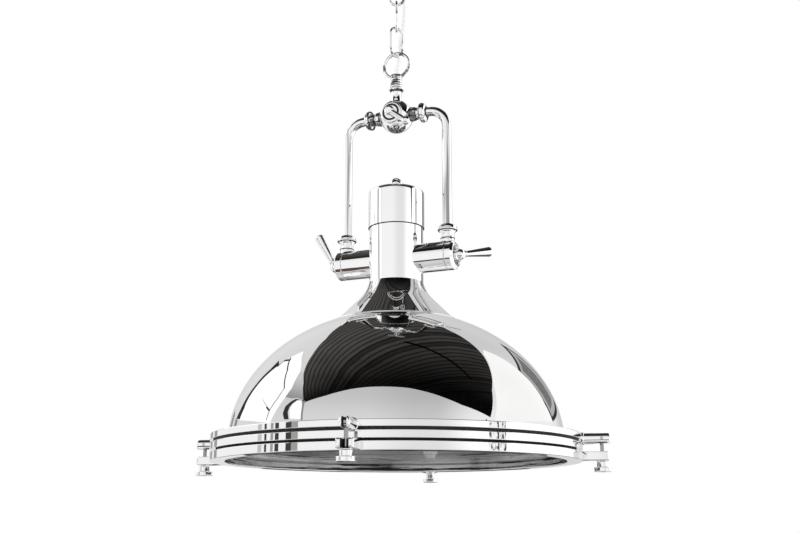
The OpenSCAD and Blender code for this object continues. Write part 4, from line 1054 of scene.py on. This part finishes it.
def cloudy_glow(name, size, dark, light, detail=3.0):
    return glow(name, lambda n: n.blend(n.noise(size, detail), dark, light))


def roof_boards(n):
    """Dark boards with darker seams running across the roof, lighter to the left and behind."""
    x, y, _ = n.parts(n.place())
    across = (RIGHT.x * x + RIGHT.y * y) * (1 / ROOF_RISE)
    near = (NEAR.x * x + NEAR.y * y) * (1 / ROOF_RISE)
    beside = (across + near) * 0.7071
    tone = n.noise(0.35, 3.0)
    along = beside + 10 + 0.08 * tone
    board = along % BOARD
    shade = n.add("ShaderNodeTexWhiteNoise", {"noise_dimensions": "1D"}, {"W": along - board})
    seam = n.ramp(board, 0.0, 0.5 * BOARD, 0.15, 1.0) * n.ramp(shade, 0.8, 0.85, 1.0, 0.45)
    light = n.ramp(near, -0.5, 0.85, 0.095, 0.008) * n.ramp(across, -1.1, 0.9, 1.25, 0.5)
    return n.tinted(light * seam * (0.5 + tone), 1.06, 1.0, 0.95)


def dim_room(n):
    """Dark furniture and paler gaps between it, as upright streaks."""
    streak = n.noise(2.6, 3.0, n.stretched((1.0, 1.0, 0.12)), 0.7)
    return n.blend(n.ramp(streak, 0.42, 0.66, 0.0, 1.0), (0.03, 0.029, 0.028), (0.34, 0.335, 0.33))


def open_shelf(n):
    """Dark things on white shelves."""
    mess = n.noise(11.0, 2.0, n.stretched((1.0, 1.0, 3.5)), 0.6)
    return n.blend(n.ramp(mess, 0.52, 0.58, 0.0, 1.0), (1.0, 1.0, 1.0), (0.04, 0.035, 0.03))


def falling_grey(n):
    """A grey wall, darker towards its foot."""
    z = n.parts(n.place())[2]
    return n.tinted(n.ramp(z, 1.2, 2.35, 0.36, 0.84), 1.0, 0.995, 0.99)


DARK_ROOF = glow("roof_boards", roof_boards)
BLACK_CABLE = glow("black_cable", lambda n: (0.001, 0.001, 0.001, 1))
DIM_ROOM = glow("dim_room", dim_room)
SHELF = glow("open_shelf", open_shelf)
GREY_WALL = glow("grey_wall", falling_grey)
WHITE_SHEET = cloudy_glow("white_sheet", 0.6, (1.40, 1.40, 1.40), (1.55, 1.55, 1.55))
RIGHT_SHEET = cloudy_glow("right_sheet", 0.6, (1.26, 1.26, 1.25), (1.40, 1.40, 1.39))
BROWN_FLOOR = cloudy_glow("brown_floor", 2.0, (0.045, 0.028, 0.022), (0.14, 0.10, 0.085))
DARK_POST = cloudy_glow("dark_post", 3.0, (0.02, 0.018, 0.016), (0.08, 0.075, 0.07))
GREY_POST = cloudy_glow("grey_post", 2.0, (0.30, 0.28, 0.27), (0.42, 0.41, 0.40))
PALE_POST = cloudy_glow("pale_post", 2.0, (0.5, 0.5, 0.5), (0.62, 0.62, 0.62))
GREY_WEAVE = cloudy_glow("grey_weave", 14.0, (0.06, 0.055, 0.05), (0.42, 0.41, 0.40), detail=2.0)

panel("studio_roof", DARK_ROOF, [overhead(*at) for at in (
    (-1.8, 0.68), (-1.16, 0.84), (-0.66, 0.89), (0.2, 1.0), (0.73, 1.15), (1.41, 1.33), (3.1, 1.43),
    (1.33, 0.25), (0.94, -0.13), (0.70, -0.37), (0.48, -0.56), (0.31, -0.70), (0.20, -0.90), (0.02, -1.2),
    (-0.15, -1.2), (-0.29, -1.08), (-0.46, -0.61), (-0.65, -0.36), (-0.88, -0.13), (-1.30, 0.30),
)])
panel("studio_roof_cable", BLACK_CABLE, [
    overhead(*at, 5.9) for at in ((0.06, -0.115), (0.88, 0.315), (0.87, 0.345), (0.05, -0.085))
])
hung(
    "studio_left_sheet", WHITE_SHEET, 4.0, (-130.2, 47.3), (-108, 48), (-98.6, 46), (-94, 42.5), (-87.5, 35.5),
    (-86.8, 27), (-88.3, 19), (-90, 11), (-131, 10.5), (-130.5, 30), (-131, 41.6),
)
hung(
    "studio_left_frame", DARK_POST, 3.9, (-131.3, 36.1), (-138.2, 34.4), (-135, 31.5), (-134.6, 23),
    (-135.3, 19), (-136.5, 13.5), (-139, 10), (-131, 10.8), (-129.4, 16.5), (-127.6, 20.8), (-126.5, 27.6),
    (-127.2, 32.2),
)
strip(
    "studio_sheet_fold", DARK_POST, 0.7, (-130.2, 41.7), (-112.4, 41.1), (-94.6, 33.7), (-93.4, 27.6),
    (-94.9, 18.8), (-94.4, 12.7),
)
strip("studio_sheet_crease", DARK_POST, 1.1, (-94.9, 18.8), (-111.3, 23.8), (-125.9, 26.1))
strip("studio_sheet_edge", DARK_POST, 1.2, (-126.4, 42.2), (-131.7, 38.4), (-129.9, 35.5))
hung(
    "studio_left_wall", GREY_WALL, 4.2, (-98.6, 46), (-94, 42.5), (-87.5, 35.5), (-86.8, 29), (-80, 29),
    (-75, 30), (-68.5, 28.8), (-73.5, 34.3), (-81, 41), (-92, 46),
)
hung(
    "studio_oval", WHITE_SHEET, 4.0, (-64.5, 14), (-73, 14), (-76, 20), (-76.5, 25), (-74, 28), (-70, 28),
    (-67, 24), (-65, 19),
)
hung(
    "studio_oval_ring", DARK_POST, 4.1, (-78, 13.5), (-81, 18), (-81.5, 23), (-79, 26.8), (-76, 29), (-72, 29),
    (-75, 27), (-77.5, 23), (-77, 19), (-74, 13.5),
)
strip("studio_oval_stand", GREY_POST, 1.4, (-67.5, 28.3), (-65, 20), (-63.3, 13))
hung(
    "studio_right_sheet", RIGHT_SHEET, 4.3, (66, 10), (68.4, 16.4), (84.3, 39.2), (98.1, 46.4), (120.3, 51.3),
    (129, 50), (130, 43), (129.5, 10),
)
hung(
    "studio_right_frame", DARK_POST, 4.1, (155.7, 30.4), (156.5, 10), (130.5, 10), (127.6, 19), (128.4, 33.9),
)
hung(
    "studio_right_border", PALE_POST, 4.0, (153.8, 29.2), (154.6, 11.6), (132, 11.6), (129.4, 19.2),
    (130.2, 32.4),
)
hung("studio_right_weave", GREY_WEAVE, 3.9, (150.5, 28.3), (148.5, 14), (134.2, 14), (133.2, 20), (134, 31))
for name, finish, turn_1, turn_2, top in (
    ("left_post", DARK_POST, -65.6, -61.8, 12), ("left_board", GREY_POST, -61.8, -57.4, 12),
    ("left_stand", DARK_POST, -81.2, -79.5, 11), ("left_rod", GREY_POST, -76.4, -74.4, 11),
    ("left_pole", DARK_POST, -73.2, -70.4, 11), ("far_board", PALE_POST, -86.6, -83.4, 9),
    ("end_stand", GREY_POST, -141, -134.5, 10), ("end_rod", GREY_POST, -153, -146, 10),
    ("right_stand", DARK_POST, 59.6, 60.4, 14), ("right_shelf", SHELF, 53.5, 65.2, 9),
):
    hung("studio_" + name, finish, 4.0, (turn_1, -8), (turn_2, -8), (turn_2, top), (turn_1, top))
hung("studio_brown_floor", BROWN_FLOOR, 3.2, (-78, -22), (-20, -22), (-20, -46), (-78, -56))
hung("studio_dark_floor", BROWN_FLOOR, 3.2, (-20, -26), (48, -26), (48, -48), (-20, -46))
BACK = [SHADE_MIDDLE + across * RIGHT - 2.2 * NEAR + height * UP for across, height in (
    (-0.40, -0.17), (0.40, -0.17), (3, -2.0), (-3, -2.0),
)]
panel("studio_back_room", DIM_ROOM, BACK)
panel("studio_back_floor", DIM_ROOM, [BACK[3], BACK[2], BACK[2] + 1.5 * NEAR, BACK[3] + 1.5 * NEAR])


def studio_air():
    """White behind the lamp; in its reflections a soft white tent, brighter at the sides and low down;
    through the glass, dark below the horizon."""
    world = bpy.data.worlds.new("studio_air")
    world.use_nodes = True
    bpy.context.scene.world = world
    n = Nodes(world.node_tree)
    mirrored = n.add("ShaderNodeLightPath", out="Is Glossy Ray")
    through = mirrored.other_end("Is Transmission Ray")
    x, y, z = n.parts(n.add("ShaderNodeTexCoord", out="Generated"))
    side, near = RIGHT.x * x + RIGHT.y * y, NEAR.x * x + NEAR.y * y
    sides = n.ramp(side, -0.35, 0.22, 0.95, 0.81) + n.ramp(side, 0.40, 0.85, 0.0, 0.40)
    dim = n.ramp(z, 0.22, 0.72, 0.0, 0.22) * n.ramp(near, -0.2, 0.35, 0.0, 1.0)
    tent = sides * (1 - dim) * n.ramp(near, -0.95, -0.75, 0.84, 1.0)
    beyond = n.ramp(z, -0.03, 0.01, 0.12, 1.0)
    shade = (mirrored - mirrored * through) * tent + through * beyond + (1 - mirrored.most(through))
    n.add("ShaderNodeOutputWorld", {}, {
        "Surface": n.add("ShaderNodeBackground", {}, {"Color": shade, "Strength": 1.0}),
    })


studio_air()
clear_bench()
bpy.ops.mesh.primitive_circle_add(vertices=96, radius=3.0, fill_type="NGON", location=(0, 0, -2.7))
floor = bpy.context.object
floor.name = "studio_floor"
bpy.ops.object.transform_apply(location=True, rotation=True, scale=True)
floor.data.materials.append(PALE_FLOOR)

bpy.ops.object.light_add(type="AREA", location=(-1.6, -1.8, 1.4), rotation=(radians(42), 0, radians(-42)))
lamp = bpy.context.object
lamp.name = "studio_lamp"
lamp.data.size, lamp.data.energy = 1.6, 12
lamp.visible_glossy = lamp.visible_camera = lamp.visible_transmission = False

bpy.ops.object.camera_add(location=CAMERA_AT, rotation=[radians(t) for t in CAMERA_TURN])
camera = bpy.context.object
camera.data.lens, camera.data.sensor_width = CAMERA_LENS, CAMERA_SENSOR
bpy.context.scene.camera = camera

bpy.context.scene.view_settings.view_transform = "Standard"
